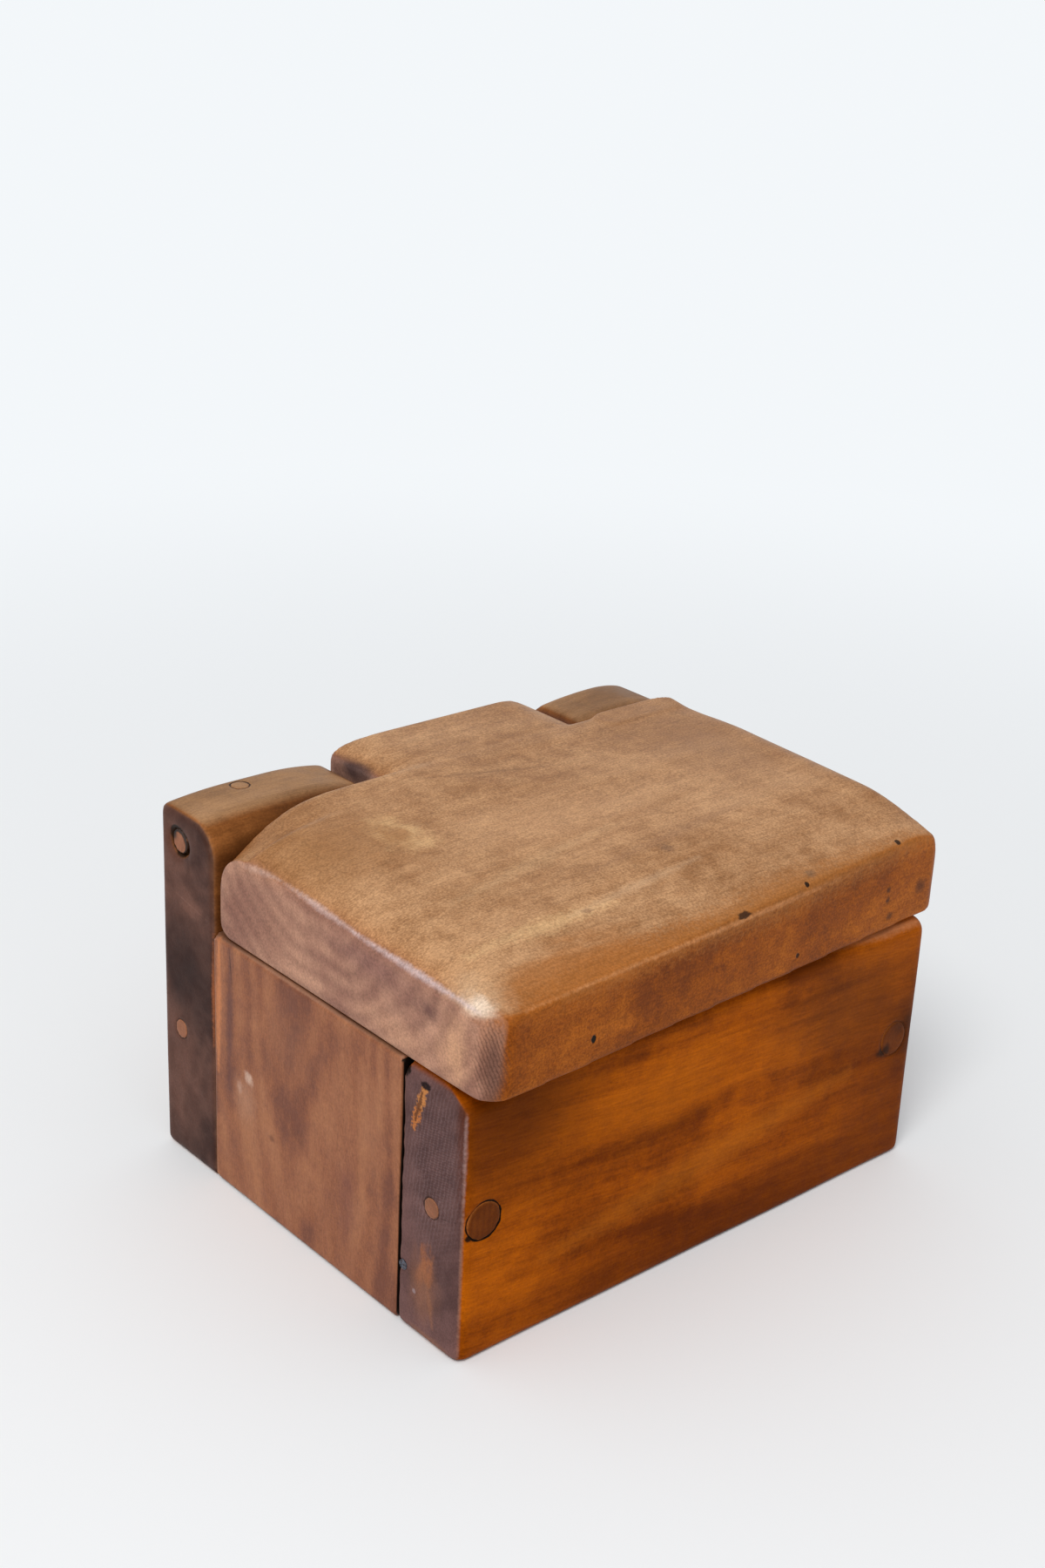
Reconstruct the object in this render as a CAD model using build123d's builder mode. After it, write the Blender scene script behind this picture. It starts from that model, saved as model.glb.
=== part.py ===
"""Wooden salt box: thick boards held by dowels and cross pins, with a slab lid on a wooden pin hinge."""

from build123d import *
from math import radians, tan
import os

# Frame: X runs along the front, -Y is the front, +Z is up. The origin is the middle of the base,
# on the surface that the box stands on. Lengths are in millimetres.

# ---- body ----
body_length = 212.0  # left end to right end of the front board and the side boards
body_depth = 167.0  # front face to back face
wall_height = 96.0  # base to the rim that the lid closes on
front_thickness = 30.0
back_thickness = 32.5
back_overhang = 4.0  # how far the back board runs past the right end
side_thickness = 22.0
shrinkage_gap = 1.0  # open joint between each side board and the front board
upright_round = 4.0  # worn upright corners of the body
rim_round = 6.0  # worn front edge of the rim
base_round = 1.5  # worn edges at the base

# ---- bottom board ----
bottom_thickness = 14.0
rabbet_width = 8.0  # how far the bottom board reaches under each wall
bottom_fit = 0.25  # gap round the bottom board in its rabbets
bottom_peg_diameter = 4.0
bottom_peg_grip = 16.0  # length of a bottom peg inside the wall
bottom_peg_spread = 55.0  # from the middle to each peg along the front and back

# ---- corner dowels and their cross pins ----
dowel_diameter = 13.0
dowel_height = 50.0  # axis above the base
left_dowel_from_end = 9.0
right_dowel_from_end = 12.0
dowel_grip = 28.0  # length of a dowel inside the side board
cross_pin_diameter = 7.0
cross_pin_length = 24.0
dowel_fit = 0.02  # radial gap of a driven dowel, peg or pin

# ---- hinge ----
ear_drop = 5.0  # how far the tops of the ears lie below the top of the lid
left_ear_length = 69.5
right_ear_length = 49.0
ear_front_round = 12.5  # lets the back of the lid swing past
ear_back_round = 3.0
ear_inner_round = 6.0  # top corners of the ears beside the tongue
left_ear_outer_round = 2.0
right_ear_outer_round = 5.0
pin_diameter = 9.0
pin_below_ear_top = 13.0
pin_from_back = 11.0
pin_recess = 1.0  # how far each end of the pin lies inside its ear
pin_mouth_diameter = 12.0  # worn mouth of the bore in the left ear
pin_mouth_depth = 2.5
running_fit = 0.08  # radial gap between the pin and the tongue
lock_peg_diameter = 6.5
lock_peg_length = 25.0
lock_peg_from_end = 28.0
lock_peg_offset = 4.0  # from the pin's axis towards the back, so that the peg notches the pin

# ---- lid ----
lid_thickness = 43.7  # at the crown
lid_seat_gap = 0.3  # under the closed lid
lid_overhang_left = 10.2  # the front of the lid is cut on a skew: past the body at the left
lid_setback_right = 1.8  # and short of it at the right
lid_overhang_end = 5.5  # past the right end of the body
lid_back_gap = 1.4  # between the back of the lid and the ears
lid_fall = 2.2  # degrees that the top slopes down from the back to the front
lid_crown_rise = 1.0  # the curve that cuts both ends clears the top by this in the middle
lid_left_drop = 11.5  # how far the top falls to the left end
lid_left_slope = 36.0  # width of that fall
lid_shoulder_drop = 2.0  # how far the top has fallen where that width begins
lid_right_drop = 22.0  # rounded top edge of the right end, its height and its width
lid_right_width = 18.0
lid_front_drop = 16.2  # how far the top falls to the front
lid_bevel_width = 25.0
lid_bevel_drop = 7.0  # how far the top has fallen where the front bevel begins
lid_front_left_round = 9.0
lid_front_right_round = 6.0
lid_back_left_round = 3.0
lid_back_right_round = 10.0
lid_back_top_round = 5.0
lid_back_bottom_round = 7.0
tongue_side_gap = 0.7  # between the tongue and each ear
tongue_back_inset = 0.5  # the end of the tongue stays inside the back face
tongue_stop_bevel = 3.0  # top edge of the tongue's end, which stops the open lid
tongue_back_left_round = 1.0
tongue_back_right_round = 16.0
tongue_left_drop = 6.0  # how far the top of the tongue falls beside the left ear
tongue_left_slope = 24.0  # width of that fall
tongue_right_drop = 9.0
tongue_right_slope = 20.0
knuckle_radius = 14.5  # underside of the tongue, round the pin
knuckle_gap = 0.5  # between that and the cut-down middle of the back board

# ---- iron nail in the left end ----
nail_head_diameter = 3.6
nail_head_thickness = 0.8
nail_shank_diameter = 1.6
nail_length = 20.0
nail_height = 22.5
nail_from_joint = 2.0

# ---- places worked out from the sizes ----
left_x = -body_length / 2
right_x = body_length / 2
front_y = -body_depth / 2
back_y = body_depth / 2
front_joint_y = front_y + front_thickness
back_joint_y = back_y - back_thickness
side_inner_x = right_x - side_thickness
side_front_y = front_joint_y + shrinkage_gap
side_length = back_joint_y - side_front_y
dowel_places_x = (left_x + left_dowel_from_end, right_x - right_dowel_from_end)
front_pin_y = front_y + front_thickness / 2
lid_bottom_z = wall_height + lid_seat_gap
lid_top_z = lid_bottom_z + lid_thickness
ear_height = lid_top_z - ear_drop  # base to the top of the ears
pin_y = back_y - pin_from_back
pin_z = ear_height - pin_below_ear_top
notch_left_x = left_x + left_ear_length
back_right_x = right_x + back_overhang
notch_right_x = back_right_x - right_ear_length
notch_z = pin_z - knuckle_radius - knuckle_gap
lid_back_y = back_joint_y - lid_back_gap
lid_right_x = right_x + lid_overhang_end
lid_front_left_y = front_y - lid_overhang_left
lid_front_right_y = front_y + lid_setback_right
tongue_left_x = notch_left_x + tongue_side_gap
tongue_right_x = notch_right_x - tongue_side_gap
tongue_back_y = back_y - tongue_back_inset
crown_back_y = lid_back_y - 2 * lid_back_top_round  # the top slopes down from here to the front
tongue_root_y = (crown_back_y + lid_back_y - lid_back_top_round) / 2
stop_bevel_reach = tongue_back_y + lid_top_z - tongue_stop_bevel  # Y + Z of the bevel's surface
front_dowel_length = front_thickness + shrinkage_gap + dowel_grip
back_dowel_length = back_thickness + dowel_grip
bottom_peg_length = bottom_thickness + bottom_peg_grip
bottom_peg_places = [
    (x, y)
    for x in (-bottom_peg_spread, bottom_peg_spread)
    for y in (front_joint_y - rabbet_width / 2, back_joint_y + rabbet_width / 2)
] + [(x, 0) for x in (-side_inner_x - rabbet_width / 2, side_inner_x + rabbet_width / 2)]


def hole(diameter):
    """Radius of the hole that a driven dowel, peg or pin of this diameter fits."""
    return diameter / 2 + dowel_fit


# ---- tools for the holes that more than one piece shares ----
# Each is a separate solid, cut from every board that the dowel, pin or peg passes through.
with BuildPart() as dowel_holes:
    with Locations(*[(x, front_y, dowel_height) for x in dowel_places_x]):
        Cylinder(hole(dowel_diameter), front_dowel_length, rotation=(-90, 0, 0),
                 align=(Align.CENTER, Align.CENTER, Align.MIN))
    with Locations(*[(x, back_y, dowel_height) for x in dowel_places_x]):
        Cylinder(hole(dowel_diameter), back_dowel_length, rotation=(90, 0, 0),
                 align=(Align.CENTER, Align.CENTER, Align.MIN))

with BuildPart() as cross_pin_holes:
    with Locations((left_x, front_pin_y, dowel_height), (left_x, pin_y, dowel_height)):
        Cylinder(hole(cross_pin_diameter), cross_pin_length, rotation=(0, 90, 0),
                 align=(Align.CENTER, Align.CENTER, Align.MIN))
    with Locations((right_x, front_pin_y, dowel_height), (back_right_x, pin_y, dowel_height)):
        Cylinder(hole(cross_pin_diameter), cross_pin_length, rotation=(0, -90, 0),
                 align=(Align.CENTER, Align.CENTER, Align.MIN))

with BuildPart() as bottom_peg_holes:
    with Locations(*[(x, y, 0) for x, y in bottom_peg_places]):
        Cylinder(hole(bottom_peg_diameter), bottom_peg_length, align=(Align.CENTER, Align.CENTER, Align.MIN))

with BuildPart() as bottom_recess:
    with BuildSketch(Plane.XY):
        with Locations((0, (front_joint_y + back_joint_y) / 2)):
            Rectangle(
                2 * (side_inner_x + rabbet_width),
                back_joint_y - front_joint_y + 2 * rabbet_width,
            )
    extrude(amount=bottom_thickness + bottom_fit)

with BuildPart() as nail_hole:
    with Locations((left_x, front_joint_y - nail_from_joint, nail_height)):
        Cylinder(nail_shank_diameter / 2 + dowel_fit, nail_length, rotation=(0, 90, 0),
                 align=(Align.CENTER, Align.CENTER, Align.MIN))
        Cylinder(nail_head_diameter / 2 + dowel_fit, nail_head_thickness, rotation=(0, 90, 0),
                 align=(Align.CENTER, Align.CENTER, Align.MIN))

with BuildPart() as lock_peg_hole:
    with Locations((left_x + lock_peg_from_end, pin_y + lock_peg_offset, ear_height)):
        Cylinder(hole(lock_peg_diameter), lock_peg_length, align=(Align.CENTER, Align.CENTER, Align.MAX))


# ---- front board ----
with BuildPart() as front_board:
    with Locations((0, front_y, 0)):
        Box(body_length, front_thickness, wall_height, align=(Align.CENTER, Align.MIN, Align.MIN))
    fillet(front_board.edges().filter_by(Axis.Z).group_by(Axis.Y)[0], upright_round)
    fillet(front_board.faces().sort_by(Axis.Y)[0].edges().sort_by(Axis.Z)[-1], rim_round)
    fillet(front_board.faces().sort_by(Axis.Y)[0].edges().sort_by(Axis.Z)[0], base_round)
    add(bottom_recess.part, mode=Mode.SUBTRACT)
    add(bottom_peg_holes.part, mode=Mode.SUBTRACT)
    add(dowel_holes.part, mode=Mode.SUBTRACT)
    add(cross_pin_holes.part, mode=Mode.SUBTRACT)
    add(nail_hole.part, mode=Mode.SUBTRACT)

# ---- back board with its hinge ears ----
with BuildPart() as back_board:
    with BuildSketch(Plane.YZ):
        with BuildLine():
            FilletPolyline(
                (back_joint_y, 0),
                (back_y, 0),
                (back_y, ear_height),
                (back_joint_y, ear_height),
                radius=[0, base_round, ear_back_round, ear_front_round],
                close=True,
            )
        make_face()
    extrude(amount=body_length, both=True)
    with BuildSketch(Plane.XZ):
        with BuildLine():
            FilletPolyline(
                (left_x, 0),
                (back_right_x, 0),
                (back_right_x, ear_height),
                (notch_right_x, ear_height),
                (notch_right_x, notch_z),
                (notch_left_x, notch_z),
                (notch_left_x, ear_height),
                (left_x, ear_height),
                radius=[
                    0,
                    0,
                    right_ear_outer_round,
                    ear_inner_round,
                    0,
                    0,
                    ear_inner_round,
                    left_ear_outer_round,
                ],
                close=True,
            )
        make_face()
    extrude(amount=body_depth, both=True, mode=Mode.INTERSECT)
    with Locations((0, pin_y, pin_z)):
        Cylinder(hole(pin_diameter), 2 * body_length, rotation=(0, 90, 0), mode=Mode.SUBTRACT)
    with Locations((left_x, pin_y, pin_z)):
        Cylinder(pin_mouth_diameter / 2, 2 * pin_mouth_depth, rotation=(0, 90, 0), mode=Mode.SUBTRACT)
    add(lock_peg_hole.part, mode=Mode.SUBTRACT)
    add(bottom_recess.part, mode=Mode.SUBTRACT)
    add(bottom_peg_holes.part, mode=Mode.SUBTRACT)
    add(dowel_holes.part, mode=Mode.SUBTRACT)
    add(cross_pin_holes.part, mode=Mode.SUBTRACT)


# ---- side boards, caught between the front and back boards ----
def side_board(outer_x, inward):
    """One side board, from its outer face at outer_x, where inward is +1 or -1 along X."""
    with BuildPart() as board:
        with Locations((outer_x + inward * side_thickness / 2, side_front_y, 0)):
            Box(side_thickness, side_length, wall_height, align=(Align.CENTER, Align.MIN, Align.MIN))
        outer_face = board.faces().sort_by(Axis.X)[0 if inward > 0 else -1]
        fillet(outer_face.edges().sort_by(Axis.Z)[-1], base_round)
        fillet(outer_face.edges().sort_by(Axis.Z)[0], base_round)
        add(bottom_recess.part, mode=Mode.SUBTRACT)
        add(bottom_peg_holes.part, mode=Mode.SUBTRACT)
        add(dowel_holes.part, mode=Mode.SUBTRACT)
        add(cross_pin_holes.part, mode=Mode.SUBTRACT)
    return board.part


left_side_board = side_board(left_x, 1)
right_side_board = side_board(right_x, -1)

# ---- bottom board and the pegs that hold it ----
with BuildPart() as bottom_board:
    with Locations((0, (front_joint_y + back_joint_y) / 2, 0)):
        Box(
            2 * (side_inner_x + rabbet_width - bottom_fit),
            back_joint_y - front_joint_y + 2 * (rabbet_width - bottom_fit),
            bottom_thickness,
            align=(Align.CENTER, Align.CENTER, Align.MIN),
        )
    add(bottom_peg_holes.part, mode=Mode.SUBTRACT)

with BuildPart() as bottom_pegs:
    with Locations(*[(x, y, 0) for x, y in bottom_peg_places]):
        Cylinder(bottom_peg_diameter / 2, bottom_peg_length, align=(Align.CENTER, Align.CENTER, Align.MIN))


# ---- corner dowels and cross pins ----
def corner_dowel(x, face_y, length, inward):
    """One dowel driven in from the face at face_y, where inward is +1 or -1 along Y."""
    with BuildPart() as dowel:
        with Locations((x, face_y, dowel_height)):
            Cylinder(dowel_diameter / 2, length, rotation=(-90 * inward, 0, 0),
                     align=(Align.CENTER, Align.CENTER, Align.MIN))
        add(cross_pin_holes.part, mode=Mode.SUBTRACT)
    return dowel.part


def cross_pin(end_x, y, inward):
    """One cross pin driven in from the end at end_x, where inward is +1 or -1 along X."""
    with BuildPart() as pin:
        with Locations((end_x, y, dowel_height)):
            Cylinder(cross_pin_diameter / 2, cross_pin_length, rotation=(0, 90 * inward, 0),
                     align=(Align.CENTER, Align.CENTER, Align.MIN))
    return pin.part


# ---- hinge pin and its lock peg ----
with BuildPart() as hinge_pin:
    with Locations((left_x + pin_recess, pin_y, pin_z)):
        Cylinder(pin_diameter / 2, back_right_x - left_x - 2 * pin_recess, rotation=(0, 90, 0),
                 align=(Align.CENTER, Align.CENTER, Align.MIN))
    add(lock_peg_hole.part, mode=Mode.SUBTRACT)

with BuildPart() as hinge_lock_peg:
    with Locations((left_x + lock_peg_from_end, pin_y + lock_peg_offset, ear_height)):
        Cylinder(lock_peg_diameter / 2, lock_peg_length, align=(Align.CENTER, Align.CENTER, Align.MAX))

# ---- lid with its hinge tongue ----
with BuildPart() as tongue:
    with BuildSketch(Plane.XZ):
        with BuildLine():
            rise = Spline(
                (tongue_left_x, lid_top_z - tongue_left_drop),
                (tongue_left_x + tongue_left_slope, lid_top_z),
                tangents=[(1, 1), (1, 0)],
            )
            fall = Spline(
                (tongue_right_x - tongue_right_slope, lid_top_z),
                (tongue_right_x, lid_top_z - tongue_right_drop),
                tangents=[(1, 0), (1, -1)],
            )
            Line(rise @ 1, fall @ 0)
            Polyline(fall @ 1, (tongue_right_x, lid_bottom_z), (tongue_left_x, lid_bottom_z), rise @ 0)
        make_face()
    extrude(amount=body_depth, both=True)
    with BuildSketch(Plane.YZ):
        with BuildLine():
            knuckle = CenterArc((pin_y, pin_z), knuckle_radius, 270, 90)
            Polyline(
                knuckle @ 0,
                (tongue_root_y, pin_z - knuckle_radius),
                (tongue_root_y, stop_bevel_reach - tongue_root_y),
                (pin_y + knuckle_radius, stop_bevel_reach - pin_y - knuckle_radius),
                knuckle @ 1,
            )
        make_face()
    extrude(amount=body_length, both=True, mode=Mode.INTERSECT)
    with BuildSketch(Plane.XY):
        with BuildLine():
            FilletPolyline(
                (tongue_left_x, tongue_root_y),
                (tongue_right_x, tongue_root_y),
                (tongue_right_x, tongue_back_y),
                (tongue_left_x, tongue_back_y),
                radius=[0, 0, tongue_back_right_round, tongue_back_left_round],
                close=True,
            )
        make_face()
    extrude(amount=2 * lid_top_z, mode=Mode.INTERSECT)

with BuildPart() as lid:
    with BuildSketch(Plane.YZ):
        with BuildLine():
            crown = Spline(
                (lid_front_left_y, lid_top_z - lid_front_drop),
                (lid_front_left_y + lid_bevel_width, lid_top_z - lid_bevel_drop),
                (crown_back_y, lid_top_z),
                tangents=[(2, 1), (1, tan(radians(lid_fall)))],
            )
            FilletPolyline(
                crown @ 1,
                (lid_back_y, lid_top_z),
                (lid_back_y, lid_bottom_z),
                (lid_front_left_y, lid_bottom_z),
                crown @ 0,
                radius=[lid_back_top_round, lid_back_bottom_round, 0],
            )
        make_face()
    extrude(amount=body_length, both=True)
    with BuildSketch(Plane((0, crown_back_y, lid_top_z)).rotated((90 + lid_fall, 0, 0))):
        with BuildLine():
            slope = Spline(
                (left_x, -lid_left_drop),
                (left_x + lid_left_slope, -lid_shoulder_drop),
                (lid_right_x - lid_right_width, lid_crown_rise),
                tangents=[(1, 1), (1, 0)],
            )
            end = EllipticalCenterArc(
                (lid_right_x - lid_right_width, -lid_right_drop),
                lid_right_width,
                lid_right_drop + lid_crown_rise,
                start_angle=0,
                arc_size=90,
            )
            Polyline(end @ 0, (lid_right_x, -lid_top_z), (left_x, -lid_top_z), slope @ 0)
        make_face()
    extrude(amount=2 * body_depth, both=True, mode=Mode.INTERSECT)
    with BuildSketch(Plane.XY.offset(lid_bottom_z)):
        with BuildLine():
            FilletPolyline(
                (left_x, lid_front_left_y),
                (lid_right_x, lid_front_right_y),
                (lid_right_x, lid_back_y),
                (left_x, lid_back_y),
                radius=[
                    lid_front_left_round,
                    lid_front_right_round,
                    lid_back_right_round,
                    lid_back_left_round,
                ],
                close=True,
            )
        make_face()
    extrude(amount=lid_thickness, mode=Mode.INTERSECT)
    add(tongue.part)
    with Locations((0, pin_y, pin_z)):
        Cylinder(pin_diameter / 2 + running_fit, body_length, rotation=(0, 90, 0), mode=Mode.SUBTRACT)

# ---- iron nail in the left end ----
with BuildPart() as end_nail:
    with Locations((left_x, front_joint_y - nail_from_joint, nail_height)):
        Cylinder(nail_head_diameter / 2, nail_head_thickness, rotation=(0, 90, 0),
                 align=(Align.CENTER, Align.CENTER, Align.MIN))
        Cylinder(nail_shank_diameter / 2, nail_length, rotation=(0, 90, 0),
                 align=(Align.CENTER, Align.CENTER, Align.MIN))

# ---- one file for each piece ----
pieces = {
    "front_board": front_board.part,
    "back_board": back_board.part,
    "left_side_board": left_side_board,
    "right_side_board": right_side_board,
    "bottom_board": bottom_board.part,
    "bottom_pegs": bottom_pegs.part,
    "front_left_dowel": corner_dowel(dowel_places_x[0], front_y, front_dowel_length, 1),
    "front_right_dowel": corner_dowel(dowel_places_x[1], front_y, front_dowel_length, 1),
    "back_left_dowel": corner_dowel(dowel_places_x[0], back_y, back_dowel_length, -1),
    "back_right_dowel": corner_dowel(dowel_places_x[1], back_y, back_dowel_length, -1),
    "front_left_cross_pin": cross_pin(left_x, front_pin_y, 1),
    "front_right_cross_pin": cross_pin(right_x, front_pin_y, -1),
    "back_left_cross_pin": cross_pin(left_x, pin_y, 1),
    "back_right_cross_pin": cross_pin(back_right_x, pin_y, -1),
    "hinge_pin": hinge_pin.part,
    "hinge_lock_peg": hinge_lock_peg.part,
    "lid": lid.part,
    "end_nail": end_nail.part,
}
os.makedirs("parts", exist_ok=True)
for name, piece in pieces.items():
    piece.label = name
    export_step(piece, f"parts/{name}.step")
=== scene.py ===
"""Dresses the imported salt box: hand-worn boards, pegs and lid with procedural wood, and a plain studio."""

import logging
from collections.abc import Callable, Sequence
from dataclasses import dataclass, replace
from enum import Enum
from math import copysign, cos, radians, sin

import bmesh
import bpy
import numpy as np
from mathutils import Matrix, Vector


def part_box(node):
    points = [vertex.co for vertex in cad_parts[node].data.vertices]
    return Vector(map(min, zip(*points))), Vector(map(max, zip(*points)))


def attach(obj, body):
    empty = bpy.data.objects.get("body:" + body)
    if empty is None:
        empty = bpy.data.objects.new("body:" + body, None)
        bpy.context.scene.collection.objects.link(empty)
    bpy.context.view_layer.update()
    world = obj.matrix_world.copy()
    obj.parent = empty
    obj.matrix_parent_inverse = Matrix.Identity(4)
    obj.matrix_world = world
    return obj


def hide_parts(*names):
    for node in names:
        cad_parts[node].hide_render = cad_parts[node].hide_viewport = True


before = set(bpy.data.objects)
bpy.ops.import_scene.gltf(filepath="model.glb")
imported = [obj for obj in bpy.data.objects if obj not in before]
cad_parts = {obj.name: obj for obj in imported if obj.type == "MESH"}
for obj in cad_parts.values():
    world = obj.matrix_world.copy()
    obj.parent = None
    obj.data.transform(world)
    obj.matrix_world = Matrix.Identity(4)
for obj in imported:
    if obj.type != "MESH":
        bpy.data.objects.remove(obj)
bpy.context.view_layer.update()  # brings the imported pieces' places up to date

log = logging.getLogger("salt_box")

MM = 0.001  # metres
FULL_TURN = 6.2832  # radians
CELLS = 32  # cells along each side of the block of random values, before it repeats
WELD = 2e-6  # metres: corners that are nearer than this are one
BAR_SIDES = 48  # of the round bars that fill the pegs' holes
TINY = 1e-6

Triple = tuple[float, float, float]
Pair = tuple[float, float]
Points = np.ndarray


class Axis(Enum):
    """An axis of the shared frame, by its place in a coordinate triple."""

    X = 0
    Y = 1
    Z = 2


class Body(Enum):
    """The bodies of the frame that a piece can ride on."""

    BOX = "box"
    LID = "lid"


# ---------------------------------------------------------------------------
# Mesh work
# ---------------------------------------------------------------------------


def progress(value: Points, start: float, end: float) -> Points:
    """How far each value has come from start to end, from 0 to 1. The start may lie above the end."""
    return np.clip((value - start) / (end - start), 0.0, 1.0)


def ease(value: Points, start: float, end: float) -> Points:
    """Goes smoothly from 0 at start to 1 at end."""
    t = progress(value, start, end)
    return t * t * (3.0 - 2.0 * t)


def bow(value: Points, start: float, end: float) -> Points:
    """Goes from 0 at start to 1 at end along a parabola, so that what it moves stays convex."""
    return progress(value, start, end) ** 2


def wander(points: Points, size: float, seed: int) -> Points:
    """Smooth random values that change over a given distance.

    Args:
        points: Places in millimetres, one per row.
        size: Distance over which the value changes, in millimetres.
        seed: Which of the possible fields to use.

    Returns:
        One value between -1 and 1 for each point.
    """
    lattice = np.random.default_rng(seed).uniform(-1.0, 1.0, (CELLS, CELLS, CELLS))
    cell = np.floor(points / size).astype(int)
    part = points / size - cell
    part = part * part * (3.0 - 2.0 * part)
    total = np.zeros(len(points))
    for corner in np.ndindex(2, 2, 2):
        share = np.prod(np.where(corner, part, 1.0 - part), axis=1)
        index = (cell + corner) % CELLS
        total += share * lattice[index[:, 0], index[:, 1], index[:, 2]]
    return total


def round_off(points: Points, axes: tuple[Axis, Axis], centre: Pair, reach: Pair, weight: Points) -> Points:
    """Wears an edge down to a quarter of an ellipse.

    Args:
        points: Places in millimetres, one per row.
        axes: The two axes that the ellipse lies in.
        centre: Middle of the ellipse on those axes.
        reach: Its half sizes on those axes. A negative one wears the edge on the low side.
        weight: How much of the wear each point takes, from 0 to 1.

    Returns:
        The moved places.
    """
    first, second = axes[0].value, axes[1].value
    u = (points[:, first] - centre[0]) / reach[0]
    v = (points[:, second] - centre[1]) / reach[1]
    distance = np.hypot(u, v)
    outside = (u > 0.0) & (v > 0.0) & (distance > 1.0)
    pull = np.where(outside, 1.0 - 1.0 / np.maximum(distance, TINY), 0.0) * weight
    points[:, first] -= pull * u * reach[0]
    points[:, second] -= pull * v * reach[1]
    return points


def plane_off(points: Points, corner: Triple, normal: Triple, weight: Points, softness: float) -> Points:
    """Flattens what stands past a plane, as a rasp does.

    Args:
        points: Places in millimetres, one per row.
        corner: A point on the plane.
        normal: Direction out of the wood, of any length.
        weight: How much of the cut each point takes, from 0 to 1.
        softness: Width over which the cut fades in, in millimetres.

    Returns:
        The moved places.
    """
    out = np.array(normal) / np.linalg.norm(normal)
    past = (points - np.array(corner)) @ out
    cut = softness * np.logaddexp(0.0, past / softness) * weight
    return points - cut[:, None] * out


def relax(points: Points, edges: np.ndarray, passes: int) -> Points:
    """Evens a net, which rounds its edges.

    Args:
        points: Places in millimetres, one per row.
        edges: Pairs of point numbers.
        passes: How often each point moves halfway to the middle of its neighbours.

    Returns:
        The moved places.
    """
    size = len(points)
    start, end = edges[:, 0], edges[:, 1]
    neighbours = np.bincount(edges.ravel(), minlength=size)[:, None]
    for _ in range(passes):
        total = np.empty_like(points)
        for axis in range(3):
            total[:, axis] = np.bincount(start, weights=points[end, axis], minlength=size)
            total[:, axis] += np.bincount(end, weights=points[start, axis], minlength=size)
        points = 0.5 * points + 0.5 * total / neighbours
    return points


def put(name: str, data: bpy.types.ID) -> bpy.types.Object:
    """Makes an object of a mesh, a camera or a lamp.

    Args:
        name: The object's name.
        data: What it shows.

    Returns:
        The object, which is in the scene.
    """
    thing = bpy.data.objects.new(name, data)
    bpy.context.scene.collection.objects.link(thing)
    return thing


def dress(piece: bpy.types.Object, material: bpy.types.Material) -> bpy.types.Object:
    """Gives a piece its one material.

    Args:
        piece: A worn piece or a CAD node.
        material: What it is dressed in.

    Returns:
        The same piece.
    """
    piece.data.materials.clear()
    piece.data.materials.append(material)
    return piece


@dataclass(frozen=True)
class Hole:
    """A peg's hole, which is filled before the surface is worn, and the seat of the peg's end."""

    axis: Axis
    mouth: Triple  # middle of the hole's open end, in millimetres
    inward: float  # 1 or -1, along the axis and into the wood
    radius: float  # of the peg
    length: float
    sunk: float = 0.0  # depth of the seat
    spare: float = 0.4  # how much wider the filling is than the peg
    lip: float = 0.6  # how far the seat's rim reaches past the peg
    floor: float = 0.2  # how far inside the peg's edge the seat is at its full depth
    skin: float = 2.0  # how far from the mouth a point still belongs to the surface

    def fill(self, mesh: bmesh.types.BMesh) -> None:
        """Fills the hole with a round bar.

        Args:
            mesh: The board's mesh, in metres.
        """
        turn = {
            Axis.X: Matrix.Rotation(radians(90), 4, "Y"),
            Axis.Y: Matrix.Rotation(radians(90), 4, "X"),
            Axis.Z: Matrix.Identity(4),
        }[self.axis]
        middle = Vector(self.mouth)
        middle[self.axis.value] += self.inward * self.length / 2
        width = (self.radius + self.spare) * MM
        bmesh.ops.create_cone(
            mesh,
            cap_ends=True,
            segments=BAR_SIDES,
            radius1=width,
            radius2=width,
            depth=self.length * MM,
            matrix=Matrix.Translation(middle * MM) @ turn,
        )

    def press(self, points: Points) -> Points:
        """Sinks the points of the surface that lie within the seat.

        Args:
            points: Places in millimetres, one per row.

        Returns:
            The moved places.
        """
        offset = points - np.array(self.mouth)
        along = offset[:, self.axis.value] * self.inward
        offset[:, self.axis.value] = 0.0
        away = np.linalg.norm(offset, axis=1)
        weight = ease(away, self.radius + self.lip, self.radius - self.floor) * (np.abs(along) < self.skin)
        points[:, self.axis.value] += self.inward * self.sunk * weight
        return points


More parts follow.
